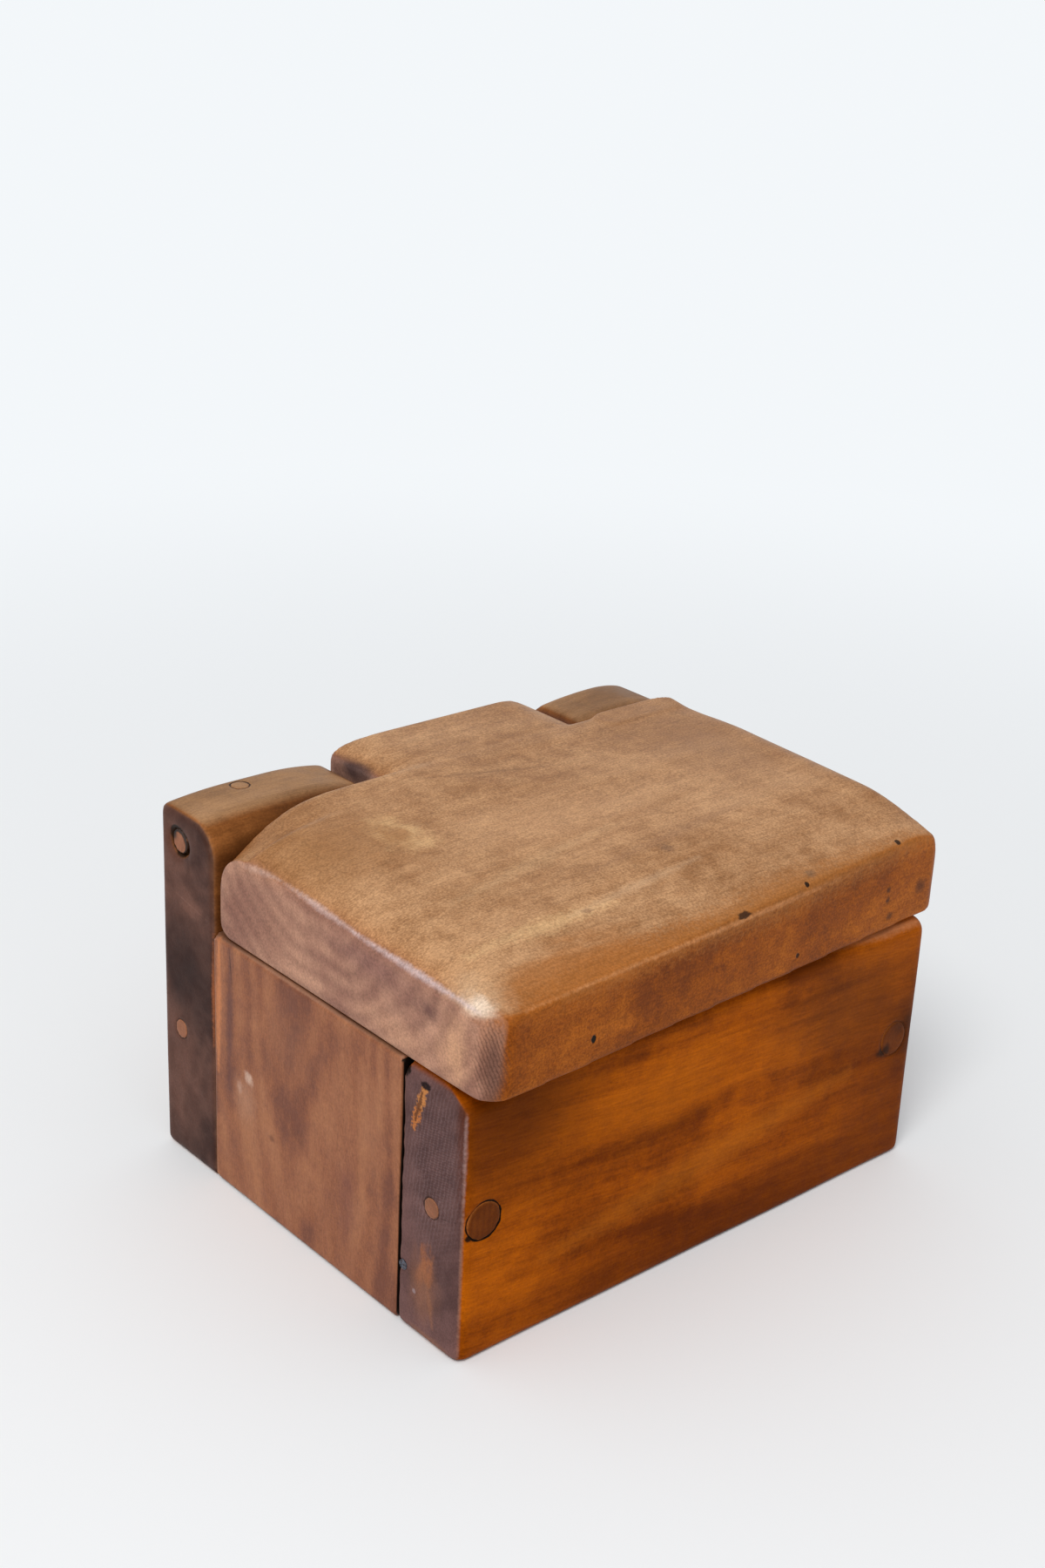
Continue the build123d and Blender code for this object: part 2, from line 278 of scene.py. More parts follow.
@dataclass
class Skin:
    """The worn surface of one board or peg, made from its CAD solid."""

    node: str
    body: Body
    slot: str
    voxel: float  # millimetres
    rounds: int  # smoothing passes, which set how worn the edges are
    holes: Sequence[Hole] = ()
    unevenness: float = 0.25  # how deep the hand work dips, in millimetres
    swell: float = 38.0  # distance between dips, in millimetres
    shape: Callable[[Points], Points] | None = None
    shaped_rounds: int = 3  # smoothing passes after the shaping

    def remeshed(self) -> bpy.types.Mesh:
        """Rebuilds the solid as one even net of small faces.

        Returns:
            The new mesh, in metres.
        """
        mesh = bmesh.new()
        mesh.from_mesh(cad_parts[self.node].data)
        bmesh.ops.remove_doubles(mesh, verts=mesh.verts, dist=WELD)
        for hole in self.holes:
            hole.fill(mesh)
        rough = bpy.data.meshes.new(f"{self.node}_rough")
        mesh.to_mesh(rough)
        mesh.free()
        holder = put(f"{self.node}_rough", rough)
        modifier = holder.modifiers.new("net", "REMESH")
        modifier.mode = "VOXEL"
        modifier.voxel_size = self.voxel * MM
        modifier.use_smooth_shade = True
        bpy.context.view_layer.update()
        shown = holder.evaluated_get(bpy.context.evaluated_depsgraph_get())
        net = bpy.data.meshes.new_from_object(shown)
        bpy.data.objects.remove(holder)
        bpy.data.meshes.remove(rough)
        return net

    def worn(self, net: bpy.types.Mesh) -> Points:
        """Wears a net: rounds it, shapes it, makes it uneven and seats its pegs.

        Args:
            net: The net of the solid, in metres.

        Returns:
            The places of its points, in millimetres and within the solid's own box.
        """
        flat = np.empty(len(net.vertices) * 3, dtype=np.float64)
        net.vertices.foreach_get("co", flat)
        ends = np.empty(len(net.edges) * 2, dtype=np.int64)
        net.edges.foreach_get("vertices", ends)
        edges = ends.reshape(-1, 2)
        points = relax(flat.reshape(-1, 3) / MM, edges, self.rounds)
        if self.shape is not None:
            points = relax(self.shape(points), edges, self.shaped_rounds)
        normals = np.empty(len(net.vertices) * 3, dtype=np.float64)
        net.vertex_normals.foreach_get("vector", normals)
        dip = self.unevenness * (0.5 + 0.5 * wander(points, self.swell, len(self.node)))
        points = points - normals.reshape(-1, 3) * dip[:, None]
        for hole in self.holes:
            points = hole.press(points)
        low, high = (np.array(corner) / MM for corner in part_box(self.node))
        return np.clip(points, low, high)

    def build(self, material: bpy.types.Material) -> bpy.types.Object:
        """Makes the worn piece in place of its CAD node.

        Args:
            material: What it is dressed in.

        Returns:
            The new object, which rides on its body.
        """
        net = self.remeshed()
        net.vertices.foreach_set("co", (self.worn(net) * MM).ravel())
        net.update()
        net.name = f"{self.node}_worn"
        piece = dress(put(f"{self.node}_worn", net), material)
        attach(piece, self.body.value)
        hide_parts(self.node)
        log.info("%s: %d faces", piece.name, len(net.polygons))
        return piece


# ---------------------------------------------------------------------------
# Shader work
# ---------------------------------------------------------------------------

Colour = tuple[float, float, float]
Socket = bpy.types.NodeSocket
Outputs = bpy.types.NodeOutputs
Feeds = dict[int | str, object]  # what goes into a node's inputs, by name or by number
MIX_SHARE, MIX_UNDER, MIX_OVER, MIX_RESULT = 0, 6, 7, 2  # the colour sockets of Blender's Mix node


def stain(red: int, green: int, blue: int) -> Colour:
    """The light of a colour that a screen shows with these values, each from 0 to 255."""
    parts = (value / 255.0 for value in (red, green, blue))
    return tuple(p / 12.92 if p <= 0.04045 else ((p + 0.055) / 1.055) ** 2.4 for p in parts)


def dimmed(colour: Colour, share: float) -> Colour:
    """A colour with only a share of its light."""
    return tuple(share * part for part in colour)


class Graph:
    """Lays shader nodes into one tree and joins them."""

    def __init__(self, tree: bpy.types.NodeTree) -> None:
        """Takes the tree that the nodes go into."""
        self.tree = tree

    def feed(self, socket: Socket, value: object) -> None:
        """Joins a socket to another one, or sets its value.

        Args:
            socket: The input to fill.
            value: An output socket, a number, a vector or a colour.
        """
        if isinstance(value, bpy.types.NodeSocket):
            self.tree.links.new(value, socket)
        elif socket.type == "RGBA":
            socket.default_value = (*value, 1.0)
        else:
            socket.default_value = value

    def add(self, kind: str, feeds: Feeds | None = None, **settings: object) -> bpy.types.Node:
        """Adds one node.

        Args:
            kind: Blender's name for the node.
            feeds: What goes into its inputs.
            **settings: The node's own options.

        Returns:
            The new node.
        """
        node = self.tree.nodes.new(kind)
        for name, value in settings.items():
            setattr(node, name, value)
        for key, value in (feeds or {}).items():
            self.feed(node.inputs[key], value)
        return node

    def coordinate(self, kind: str) -> Socket:
        """The piece's own coordinates of one kind, such as Object or Normal."""
        return self.add("ShaderNodeTexCoord").outputs[kind]

    def upward(self, direction: Socket) -> Socket:
        """How far a direction points up, from -1 to 1."""
        return self.add("ShaderNodeSeparateXYZ", {0: direction}).outputs["Z"]

    def maths(
        self, operation: str, first: object, second: object = 0.0, third: object = 0.0, clamp: bool = False
    ) -> Socket:
        """One step of arithmetic with up to three numbers, kept between 0 and 1 where clamp is set."""
        feeds = {0: first, 1: second, 2: third}
        return self.add("ShaderNodeMath", feeds, operation=operation, use_clamp=clamp).outputs[0]

    def plus(self, total: object, share: float, pattern: Socket) -> Socket:
        """Adds a share of a pattern to a total."""
        return self.maths("MULTIPLY_ADD", pattern, share, third=total)

    def rest(self, share: object) -> Socket:
        """What a share leaves of the whole."""
        return self.maths("SUBTRACT", 1.0, share)

    def sway(self, pattern: Socket, amount: object) -> Socket:
        """Turns a pattern from 0 to 1 into a push to either side."""
        return self.maths("MULTIPLY", self.maths("SUBTRACT", pattern, 0.5), amount)

    def vector(self, operation: str, first: object, second: object = (0.0, 0.0, 0.0)) -> Socket:
        """One step of vector arithmetic, which gives a number for a length and a dot product."""
        result = "Value" if operation in ("LENGTH", "DOT_PRODUCT") else "Vector"
        return self.add("ShaderNodeVectorMath", {0: first, 1: second}, operation=operation).outputs[result]

    def scaled(self, vector: object, factor: object) -> Socket:
        """Multiplies a vector by a number."""
        feeds = {0: vector, "Scale": factor}
        return self.add("ShaderNodeVectorMath", feeds, operation="SCALE").outputs["Vector"]

    def span(self, value: Socket, start: object, end: object, low: float = 0.0, high: float = 1.0) -> Socket:
        """Maps a value smoothly, from low at start to high at end."""
        feeds = {"Value": value, "From Min": start, "From Max": end, "To Min": low, "To Max": high}
        return self.add("ShaderNodeMapRange", feeds, interpolation_type="SMOOTHSTEP").outputs["Result"]

    def noise(
        self, place: Socket, stretch: Triple, detail: float = 2.0, roughness: float = 0.5, bend: float = 0.0
    ) -> Outputs:
        """Soft random values that can be drawn out along an axis.

        Args:
            place: Where on the piece, in millimetres.
            stretch: Changes per millimetre along each axis.
            detail: How many finer layers are added.
            roughness: How strong the finer layers are.
            bend: How much the pattern is pulled about.

        Returns:
            The outputs, named Fac and Color.
        """
        scaled = self.vector("MULTIPLY", place, stretch)
        feeds = {"Vector": scaled, "Scale": 1.0, "Detail": detail, "Roughness": roughness, "Distortion": bend}
        return self.add("ShaderNodeTexNoise", feeds).outputs

    def pattern(self, place: Socket, stretch: Triple, band: Pair, *layers: float) -> Socket:
        """Noise whose values within a band are spread from 0 to 1."""
        return self.span(self.noise(place, stretch, *layers)["Fac"], *band)

    def mix(self, share: object, under: object, over: object, mode: str = "MIX") -> Socket:
        """Lays a share of one colour over another, in the way that the mode names."""
        feeds = {MIX_SHARE: share, MIX_UNDER: under, MIX_OVER: over}
        return self.add("ShaderNodeMix", feeds, data_type="RGBA", blend_type=mode).outputs[MIX_RESULT]

    def ramp(self, share: Socket, stops: Sequence[float], *colours: Colour) -> Socket:
        """Turns a value into a colour.

        Args:
            share: The value's socket, from 0 to 1.
            stops: Where the colours are pure, in order.
            *colours: One for each stop.

        Returns:
            The colour's socket.
        """
        node = self.add("ShaderNodeValToRGB", {"Fac": share})
        band = node.color_ramp
        while len(band.elements) < len(stops):
            band.elements.new(0.5)
        for element, stop, colour in zip(band.elements, stops, colours):
            element.position = stop
            element.color = (*colour, 1.0)
        return node.outputs["Color"]


class Effect(Graph):
    """A shader node group that is built once and placed in each material with its own values."""

    name = ""
    vectors: tuple[str, ...] = ()  # inputs that are places, sizes or directions
    numbers: tuple[str, ...] = ()  # inputs that are plain numbers
    masks: tuple[str, ...] = ()  # outputs, which are values from 0 to 1

    def __init__(self) -> None:
        """Builds the group with its named inputs and outputs."""
        super().__init__(bpy.data.node_groups.new(self.name, "ShaderNodeTree"))
        sockets = [(label, "INPUT", "NodeSocketVector") for label in self.vectors]
        sockets += [(label, "INPUT", "NodeSocketFloat") for label in self.numbers]
        sockets += [(label, "OUTPUT", "NodeSocketFloat") for label in self.masks]
        for label, side, kind in sockets:
            self.tree.interface.new_socket(label, in_out=side, socket_type=kind)
        self.given = self.add("NodeGroupInput").outputs
        sink = self.add("NodeGroupOutput").inputs
        for label, socket in zip(self.masks, self.lay()):
            self.feed(sink[label], socket)

    def lay(self) -> tuple[Socket, ...]:
        """Lays the nodes between the inputs and the outputs, and gives the socket of each output."""
        raise NotImplementedError

    @classmethod
    def place(cls, graph: Graph, **values: object) -> Outputs:
        """Places the group in a material.

        Args:
            graph: The material's graph.
            **values: What goes into its inputs; an underscore stands for a space.

        Returns:
            The group's outputs.
        """
        tree = bpy.data.node_groups.get(cls.name)
        if tree is None:
            tree = cls().tree
        node = graph.add("ShaderNodeGroup", node_tree=tree)
        for name, value in values.items():
            graph.feed(node.inputs[name.replace("_", " ")], value)
        return node.outputs


class Grain(Effect):
    """The inside of the wood: growth rings, streaks, fibres and pores, with the grain along X."""

    name = "wood_grain"
    vectors = ("Place", "Pith")
    numbers = ("Ring Width", "Waver")
    masks = ("Rings", "Streaks", "Lines", "Fibres", "Pores")

    # changes per millimetre along and across the grain
    waver_stretch = (0.007, 0.02, 0.02)
    year_stretch = (0.003, 0.025, 0.025)
    streak_stretch = (0.006, 0.05, 0.05)
    line_stretch = (0.016, 0.3, 0.3)
    fibre_stretch = (0.12, 1.5, 1.5)
    pore_stretch = (0.4, 2.4, 2.4)

    years_adrift = 3.0  # by how many rings the years run thick and thin
    tone_band = (0.25, 0.75)
    pore_band = (0.64, 0.76)

    def lay(self) -> tuple[Socket, ...]:
        """Lays rings round the pith and noise drawn out along the grain.

        Returns:
            The sockets of the rings, streaks, lines, fibres and pores.
        """
        place = self.given["Place"]
        waver = self.vector("SUBTRACT", self.noise(place, self.waver_stretch)["Color"], (0.5, 0.5, 0.5))
        moved = self.vector("ADD", place, self.scaled(waver, self.given["Waver"]))
        offset = self.vector("SUBTRACT", moved, self.given["Pith"])
        across = self.vector("MULTIPLY", offset, (0.0, 1.0, 1.0))
        years = self.maths("DIVIDE", self.vector("LENGTH", across), self.given["Ring Width"])
        uneven = self.noise(place, self.year_stretch, 1.0)["Fac"]
        turn = self.maths("ADD", years, self.maths("MULTIPLY", uneven, self.years_adrift))
        wave = self.maths("SINE", self.maths("MULTIPLY", turn, FULL_TURN))
        return (
            self.maths("ADD", self.maths("MULTIPLY", wave, 0.5), 0.5),
            self.pattern(moved, self.streak_stretch, self.tone_band, 2.0, 0.45, 0.4),
            self.pattern(moved, self.line_stretch, self.tone_band, 2.0, 0.5),
            self.pattern(moved, self.fibre_stretch, self.tone_band, 2.0, 0.55),
            self.pattern(moved, self.pore_stretch, self.pore_band, 1.0, 0.5),
        )


class Patina(Effect):
    """What years of wax and hands leave: broad clouds, a fine mottle and specks."""

    name = "patina"
    vectors = ("Place",)
    masks = ("Clouds", "Mottle", "Speckle")

    # changes per millimetre, the same each way
    cloud_stretch = (0.018, 0.018, 0.018)
    mottle_stretch = (0.13, 0.13, 0.13)
    speckle_stretch = (1.3, 1.3, 1.3)

    band = (0.3, 0.7)

    def lay(self) -> tuple[Socket, ...]:
        """Lays noise of three sizes that takes no notice of the grain.

        Returns:
            The sockets of the clouds, the mottle and the specks.
        """
        place = self.given["Place"]
        return (
            self.pattern(place, self.cloud_stretch, self.band, 2.0, 0.5, 0.6),
            self.pattern(place, self.mottle_stretch, self.band, 4.0, 0.6, 0.3),
            self.pattern(place, self.speckle_stretch, self.band, 2.0, 0.6),
        )


class EndFace(Effect):
    """Where the surface cuts across the grain, and how far it faces up."""

    name = "end_face"
    vectors = ("Grain",)
    numbers = ("From", "To")
    masks = ("End", "Up")
    end_band = (0.5, 0.86)  # cosines of the angle to the grain over which the end grain comes in

    def lay(self) -> tuple[Socket, ...]:
        """Compares the surface's own direction with the grain and with up.

        Returns:
            The sockets of the end grain and of what faces up.
        """
        facing = self.coordinate("Normal")
        along = self.maths("ABSOLUTE", self.vector("DOT_PRODUCT", facing, self.given["Grain"]))
        up = self.span(self.upward(facing), self.given["From"], self.given["To"])
        return self.span(along, *self.end_band), up


class EdgeWearAndHighlight(Effect):
    """Rubbed edges, lightened also as a painted highlight, and dirt in hollows, from how sharply the surface
    bends.
    """

    name = "edge_wear_and_highlight"
    vectors = ("Place",)
    numbers = ("Start", "Full")
    masks = ("Wear And Highlight", "Dirt")
    patch_stretch = (0.11, 0.11, 0.11)  # changes per millimetre
    patchiness = 0.035
    hollow_band = (0.485, 0.43)
    under_band = (-0.12, -0.02)  # what faces down is neither worn nor given the painted highlight

    def lay(self) -> tuple[Socket, ...]:
        """Breaks up the bend of the surface with noise.

        Returns:
            The sockets of the worn edges with their painted highlight, and of the dirt.
        """
        bend = self.add("ShaderNodeNewGeometry").outputs["Pointiness"]
        patches = self.noise(self.given["Place"], self.patch_stretch, 4.0, 0.65)["Fac"]
        uneven = self.maths("ADD", bend, self.sway(patches, self.patchiness))
        rubbed_and_highlight = self.span(uneven, self.given["Start"], self.given["Full"])
        reached = self.span(self.upward(self.coordinate("Normal")), *self.under_band)
        return self.maths("MULTIPLY", rubbed_and_highlight, reached), self.span(bend, *self.hollow_band)


class Blot(Effect):
    """What the masks of stains, painted light and shade, and streaks share: a rim that fades."""

    masks = ("Mask",)
    rim = 1.05  # where a mark has faded out, in units of its own size

    def faded(self, distance: Socket) -> Socket:
        """Turns a distance in units of the mark's size into its mask."""
        return self.rest(self.span(distance, self.rest(self.given["Soft"]), self.rim))


class Spot(Blot):
    """The mask of a round or oval mark with a ragged rim."""

    name = "spot"
    vectors = ("Place", "Centre", "Reach")
    numbers = ("Soft", "Ragged")
    rag_stretch = (1.6, 1.6, 1.6)  # changes over the mark's half size

    def lay(self) -> tuple[Socket, ...]:
        """Measures from the centre in units of the mark's own size.

        Returns:
            The socket of the mask.
        """
        offset = self.vector("SUBTRACT", self.given["Place"], self.given["Centre"])
        unit = self.vector("DIVIDE", offset, self.given["Reach"])
        seeded = self.vector("ADD", unit, self.given["Centre"])
        rough = self.noise(seeded, self.rag_stretch, 3.0, 0.6)["Fac"]
        shift = self.sway(rough, self.given["Ragged"])
        return (self.faded(self.maths("ADD", self.vector("LENGTH", unit), shift)),)


class Streak(Blot):
    """The mask of a straight mark, such as a crack, a channel or a run of colour."""

    name = "streak"
    vectors = ("Place", "Start", "Run")
    numbers = ("Width", "Soft", "Ragged")
    rag_stretch = (0.7, 0.7, 0.7)  # changes per millimetre
    taper = 0.9

    def lay(self) -> tuple[Socket, ...]:
        """Measures from the nearest point of the mark's line, which thins towards its ends.

        Returns:
            The socket of the mask.
        """
        place, run = self.given["Place"], self.given["Run"]
        offset = self.vector("SUBTRACT", place, self.given["Start"])
        along = self.vector("DOT_PRODUCT", offset, run)
        share = self.maths("DIVIDE", along, self.vector("DOT_PRODUCT", run, run), clamp=True)
        away = self.vector("SUBTRACT", offset, self.scaled(run, share))
        distance = self.maths("DIVIDE", self.vector("LENGTH", away), self.given["Width"])
        rough = self.noise(place, self.rag_stretch, 3.0, 0.6)["Fac"]
        distance = self.maths("ADD", distance, self.sway(rough, self.given["Ragged"]))
        from_middle = self.maths("ABSOLUTE", self.maths("SUBTRACT", share, 0.5))
        thinner = self.maths("MULTIPLY", from_middle, self.taper)
        return (self.faded(self.maths("ADD", distance, thinner)),)


class Seam(Effect):
    """The mask of the thin ring round the end of a peg."""

    name = "seam"
    vectors = ("Place", "Centre", "Across")
    numbers = ("Radius", "Width")
    masks = ("Mask",)
    uneven_stretch = (0.25, 0.25, 0.25)  # changes per millimetre
    uneven_span = (0.3, 0.7, 0.45, 1.6)  # the noise's band, and the shares of the width that it gives
    rim_band = (0.4, 1.0)

    def lay(self) -> tuple[Socket, ...]:
        """Measures from a circle round the peg, whose width comes and goes.

        Returns:
            The socket of the mask.
        """
        offset = self.vector("SUBTRACT", self.given["Place"], self.given["Centre"])
        distance = self.vector("LENGTH", self.vector("MULTIPLY", offset, self.given["Across"]))
        away = self.maths("ABSOLUTE", self.maths("SUBTRACT", distance, self.given["Radius"]))
        uneven = self.noise(self.given["Place"], self.uneven_stretch)["Fac"]
        width = self.maths("MULTIPLY", self.given["Width"], self.span(uneven, *self.uneven_span))
        return (self.rest(self.span(self.maths("DIVIDE", away, width), *self.rim_band)),)


class Scratches(Effect):
    """The mask of fine lines side by side, as a rasp leaves them, within a soft oval."""

    name = "scratches"
    vectors = ("Place", "Centre", "Reach", "Across")
    masks = ("Mask",)
    broken_stretch = (0.5, 0.5, 0.5)  # changes per millimetre
    broken_turn = 7.0  # radians by which the lines wander
    line_band = (-0.2, 1.0)

    def lay(self) -> tuple[Socket, ...]:
        """Waves across the lines, broken up along them.

        Returns:
            The socket of the mask.
        """
        place = self.given["Place"]
        shape = {"Centre": self.given["Centre"], "Reach": self.given["Reach"], "Soft": 0.6, "Ragged": 0.5}
        oval = Spot.place(self, Place=place, **shape)["Mask"]
        across = self.vector("DOT_PRODUCT", place, self.given["Across"])
        broken = self.maths("MULTIPLY", self.noise(place, self.broken_stretch)["Fac"], self.broken_turn)
        turn = self.maths("ADD", self.maths("MULTIPLY", across, FULL_TURN), broken)
        line = self.span(self.maths("SINE", turn), *self.line_band)
        return (self.maths("MULTIPLY", line, oval),)


class Placed:
    """A mark with a place of its own, whose fields feed the inputs of its effect that bear their names."""

    effect: type[Effect]  # the node group that draws it

    def mask(self, graph: Graph, place: Socket) -> Socket:
        """Lays the nodes of the mark's mask.

        Args:
            graph: The material's graph.
            place: Places in millimetres.

        Returns:
            The mask's socket.
        """
        inputs = (*self.effect.vectors[1:], *self.effect.numbers)
        values = {name: getattr(self, name.lower()) for name in inputs}
        return self.effect.place(graph, Place=place, **values)["Mask"]


@dataclass(frozen=True)
class Mark(Placed):
    """A stain, hole, rubbed place, painted shade or painted highlight, oval in shape."""

    effect = Spot
    centre: Triple  # millimetres
    reach: Triple  # half sizes
    colour: Colour
    share: float = 1.0  # how much of its colour shows
    soft: float = 0.95  # width of the fading rim, as a share of its size
    ragged: float = 0.9
    sunk: float = 0.0  # depth for the bump, in millimetres


@dataclass(frozen=True)
class Run(Placed):
    """A crack, a channel or a run of colour between two points."""

    effect = Streak
    start: Triple  # millimetres
    end: Triple
    width: float  # half of it
    colour: Colour
    share: float = 1.0
    soft: float = 0.95
    ragged: float = 0.9
    sunk: float = 0.0

    @property
    def run(self) -> Triple:
        """The way from start to end."""
        return tuple(b - a for a, b in zip(self.start, self.end))


@dataclass(frozen=True)
class Ring(Placed):
    """The thin dark line round the end of a peg."""

    effect = Seam
    centre: Triple  # millimetres
    across: Triple  # 0 along the peg and 1 across it
    radius: float
    colour: Colour
    width: float = 0.45
    share: float = 1.0
    sunk: float = 0.3


@dataclass(frozen=True)
class Rasped(Placed):
    """A place that a rasp has gone over."""

    effect = Scratches
    centre: Triple  # millimetres
    reach: Triple  # half sizes
    across: Triple  # lines per millimetre, across them
    colour: Colour
    share: float = 0.6
    sunk: float = 0.2


# ---------------------------------------------------------------------------
# Finishes
# ---------------------------------------------------------------------------

BLACK = stain(18, 12, 9)
SOOT = stain(48, 30, 22)


class Finish:
    """What a piece is dressed in."""

    name: str
    bump: float
    bump_depth: float  # metres

    def surface(self, graph: Graph, place: Socket) -> tuple[dict[str, object], Socket]:
        """Lays the finish's nodes, and gives what feeds the shader and the height of the bump."""
        raise NotImplementedError

    def material(self) -> bpy.types.Material:
        """Builds the material.

        Returns:
            The finished material.
        """
        material = bpy.data.materials.new(self.name)
        material.use_nodes = True
        material.node_tree.nodes.clear()
        graph = Graph(material.node_tree)
        place = graph.vector("MULTIPLY", graph.coordinate("Object"), (1 / MM, 1 / MM, 1 / MM))
        feeds, height = self.surface(graph, place)
        relief = {"Height": height, "Strength": self.bump, "Distance": self.bump_depth}
        feeds["Normal"] = graph.add("ShaderNodeBump", relief).outputs["Normal"]
        shader = graph.add("ShaderNodeBsdfPrincipled", feeds)
        output = graph.add("ShaderNodeOutputMaterial")
        graph.feed(output.inputs["Surface"], shader.outputs["BSDF"])
        return material


@dataclass(frozen=True)
class Wood(Finish):
    """A waxed wood: how it grew, its colours along and across the grain, and its marks."""

    name: str
    grain: Axis
    pith: Triple  # middle of the growth rings, with the grain along the first number
    light: Colour
    middle: Colour
    dark: Colour
    end_light: Colour
    end_dark: Colour
    rubbed_and_highlight: Colour  # worn edges, whose colour is also a painted highlight
    marks: Sequence[Placed] = ()
    faded: tuple[Colour, Colour] | None = None  # dark and light of what faces up
    faded_share: float = 0.6
    faded_span: Pair = (0.55, 0.98)  # how far up the surface faces, as a cosine
    slant: float = 0.0  # degrees that the grain leans in the face that it shows

    # how it grew
    ring_width: float = 9.0  # millimetres
    waver: float = 9.0  # millimetres
    streak_share: float = 0.7
    ring_share: float = 0.12
    line_share: float = 0.16
    fibre_share: float = 0.10
    pore_share: float = 0.30
    end_ring_share: float = 0.10
    end_patina: Triple = (0.7, 0.3, 0.12)  # shares of the clouds, the mottle and the specks in the end grain
    tone_stops: Triple = (0.12, 0.5, 0.88)  # where the dark, the middle and the light colour are pure
    plain_stops: Pair = (0.15, 0.85)  # the same for the faded wood and the end grain

    # how it aged
    cloud_share: float = 0.45
    mottle_share: float = 0.22
    speckle_share: float = 0.10
    tooth_share: float = 0.06  # specks that lie over the marks too
    end_tooth: float = 0.45  # how much of the end's rings does
    # how sharply an edge must bend to be worn and take the painted highlight, and how much of it shows
    wear_and_highlight_start: float = 0.515
    wear_and_highlight_full: float = 0.60
    wear_and_highlight_share: float = 0.7
    dirt_share: float = 0.7
    pore_tint: float = 0.4  # how much of the dark colour's light the pores keep
    dirt_tint: float = 0.25

    # how it shines
    roughness: float = 0.42
    rough_mottle: float = 0.12  # how much the mottle changes the roughness
    rough_wear: float = 0.08  # how much smoother a rubbed edge is
    specular: float = 0.15
    sheen: Colour = (1.0, 1.0, 1.0)  # colour of the reflections of the wax
    bump: float = 0.30
    bump_depth: float = 0.1 * MM
    fibre_height: float = 0.3  # in units of the bump's depth, as the next two
    pore_height: float = -0.6
    mottle_height: float = 0.8

    def turned(self, graph: Graph, place: Socket) -> Socket:
        """Turns the piece's places so that the grain runs along the first number.

        Args:
            graph: The material's graph.
            place: Places in millimetres.

        Returns:
            The turned places.
        """
        if self.grain is Axis.X and not self.slant:
            return place
        turns = {
            Axis.X: (0.0, self.slant, 0.0),
            Axis.Y: (0.0, 0.0, 90.0),
            Axis.Z: (0.0, 90.0 + self.slant, 0.0),
        }
        angles = tuple(radians(angle) for angle in turns[self.grain])
        return graph.add("ShaderNodeMapping", {"Vector": place, "Rotation": angles}).outputs["Vector"]

    def blended(self, graph: Graph, *parts: tuple[Socket, float]) -> Socket:
        """Adds patterns up round a middle grey.

        Args:
            graph: The material's graph.
            *parts: Each pattern's socket, and how much it counts.

        Returns:
            The sum, from 0 to 1.
        """
        tone: Socket | float = 0.5 - 0.5 * sum(share for _, share in parts)
        for pattern, share in parts:
            tone = graph.plus(tone, share, pattern)
        return graph.maths("ADD", tone, 0.0, clamp=True)

    def grown(self, graph: Graph, grain: Outputs, patina: Outputs, facing: Outputs) -> Socket:
        """Colours the clean wood, along and across its grain.

        Args:
            graph: The material's graph.
            grain: The masks of the grain.
            patina: The masks of the patina.
            facing: The masks of what faces along the grain and up.

        Returns:
            The colour's socket.
        """
        tone = self.blended(
            graph,
            (grain["Streaks"], self.streak_share),
            (patina["Clouds"], self.cloud_share),
            (grain["Lines"], self.line_share),
            (patina["Mottle"], self.mottle_share),
            (patina["Speckle"], self.speckle_share),
            (grain["Rings"], -self.ring_share),
        )
        colour = graph.ramp(tone, self.tone_stops, self.dark, self.middle, self.light)
        if self.faded is not None:
            pale = graph.ramp(tone, self.plain_stops, *self.faded)
            colour = graph.mix(graph.maths("MULTIPLY", facing["Up"], self.faded_share), colour, pale)
        spread = zip((patina[name] for name in Patina.masks), self.end_patina)
        end_tone = self.blended(graph, *spread, (grain["Rings"], self.end_ring_share))
        end = graph.ramp(end_tone, self.plain_stops, self.end_light, self.end_dark)
        return graph.mix(facing["End"], colour, end)

    def tooth(self, graph: Graph, grain: Outputs, patina: Outputs, facing: Outputs) -> Socket:
        """Lays the fine light and shade over everything: fibres, specks and the rings of the ends.

        Args:
            graph: The material's graph.
            grain: The masks of the grain.
            patina: The masks of the patina.
            facing: The masks of what faces along the grain and up.

        Returns:
            The socket of a grey about 1, to multiply the colour by.
        """
        tone = graph.plus(1.0 - self.fibre_share, 2.0 * self.fibre_share, grain["Fibres"])
        tone = graph.plus(tone, 2.0 * self.tooth_share, patina["Speckle"])
        tone = graph.maths("SUBTRACT", tone, self.tooth_share)
        rings = graph.maths("MULTIPLY", graph.maths("SUBTRACT", 0.5, grain["Rings"]), facing["End"])
        tone = graph.plus(tone, self.end_tooth * self.end_ring_share, rings)
        return graph.add("ShaderNodeCombineColor", {0: tone, 1: tone, 2: tone}).outputs[0]

    def surface(self, graph: Graph, place: Socket) -> tuple[dict[str, object], Socket]:
        """Lays the wood, then its worn edges with their painted highlight, its marks and its tooth.

        Args:
            graph: The material's graph.
            place: Places in millimetres.

        Returns:
            What feeds the shader, and the height of the bump.
        """
        turned = self.turned(graph, place)
        grain = Grain.place(graph, Place=turned, Pith=self.pith, Ring_Width=self.ring_width, Waver=self.waver)
        direction = tuple(1.0 if axis is self.grain else 0.0 for axis in Axis)
        facing = EndFace.place(graph, Grain=direction, From=self.faded_span[0], To=self.faded_span[1])
        wear_and_highlight = EdgeWearAndHighlight.place(graph, Place=place, Start=self.wear_and_highlight_start, Full=self.wear_and_highlight_full)
        patina = Patina.place(graph, Place=place)

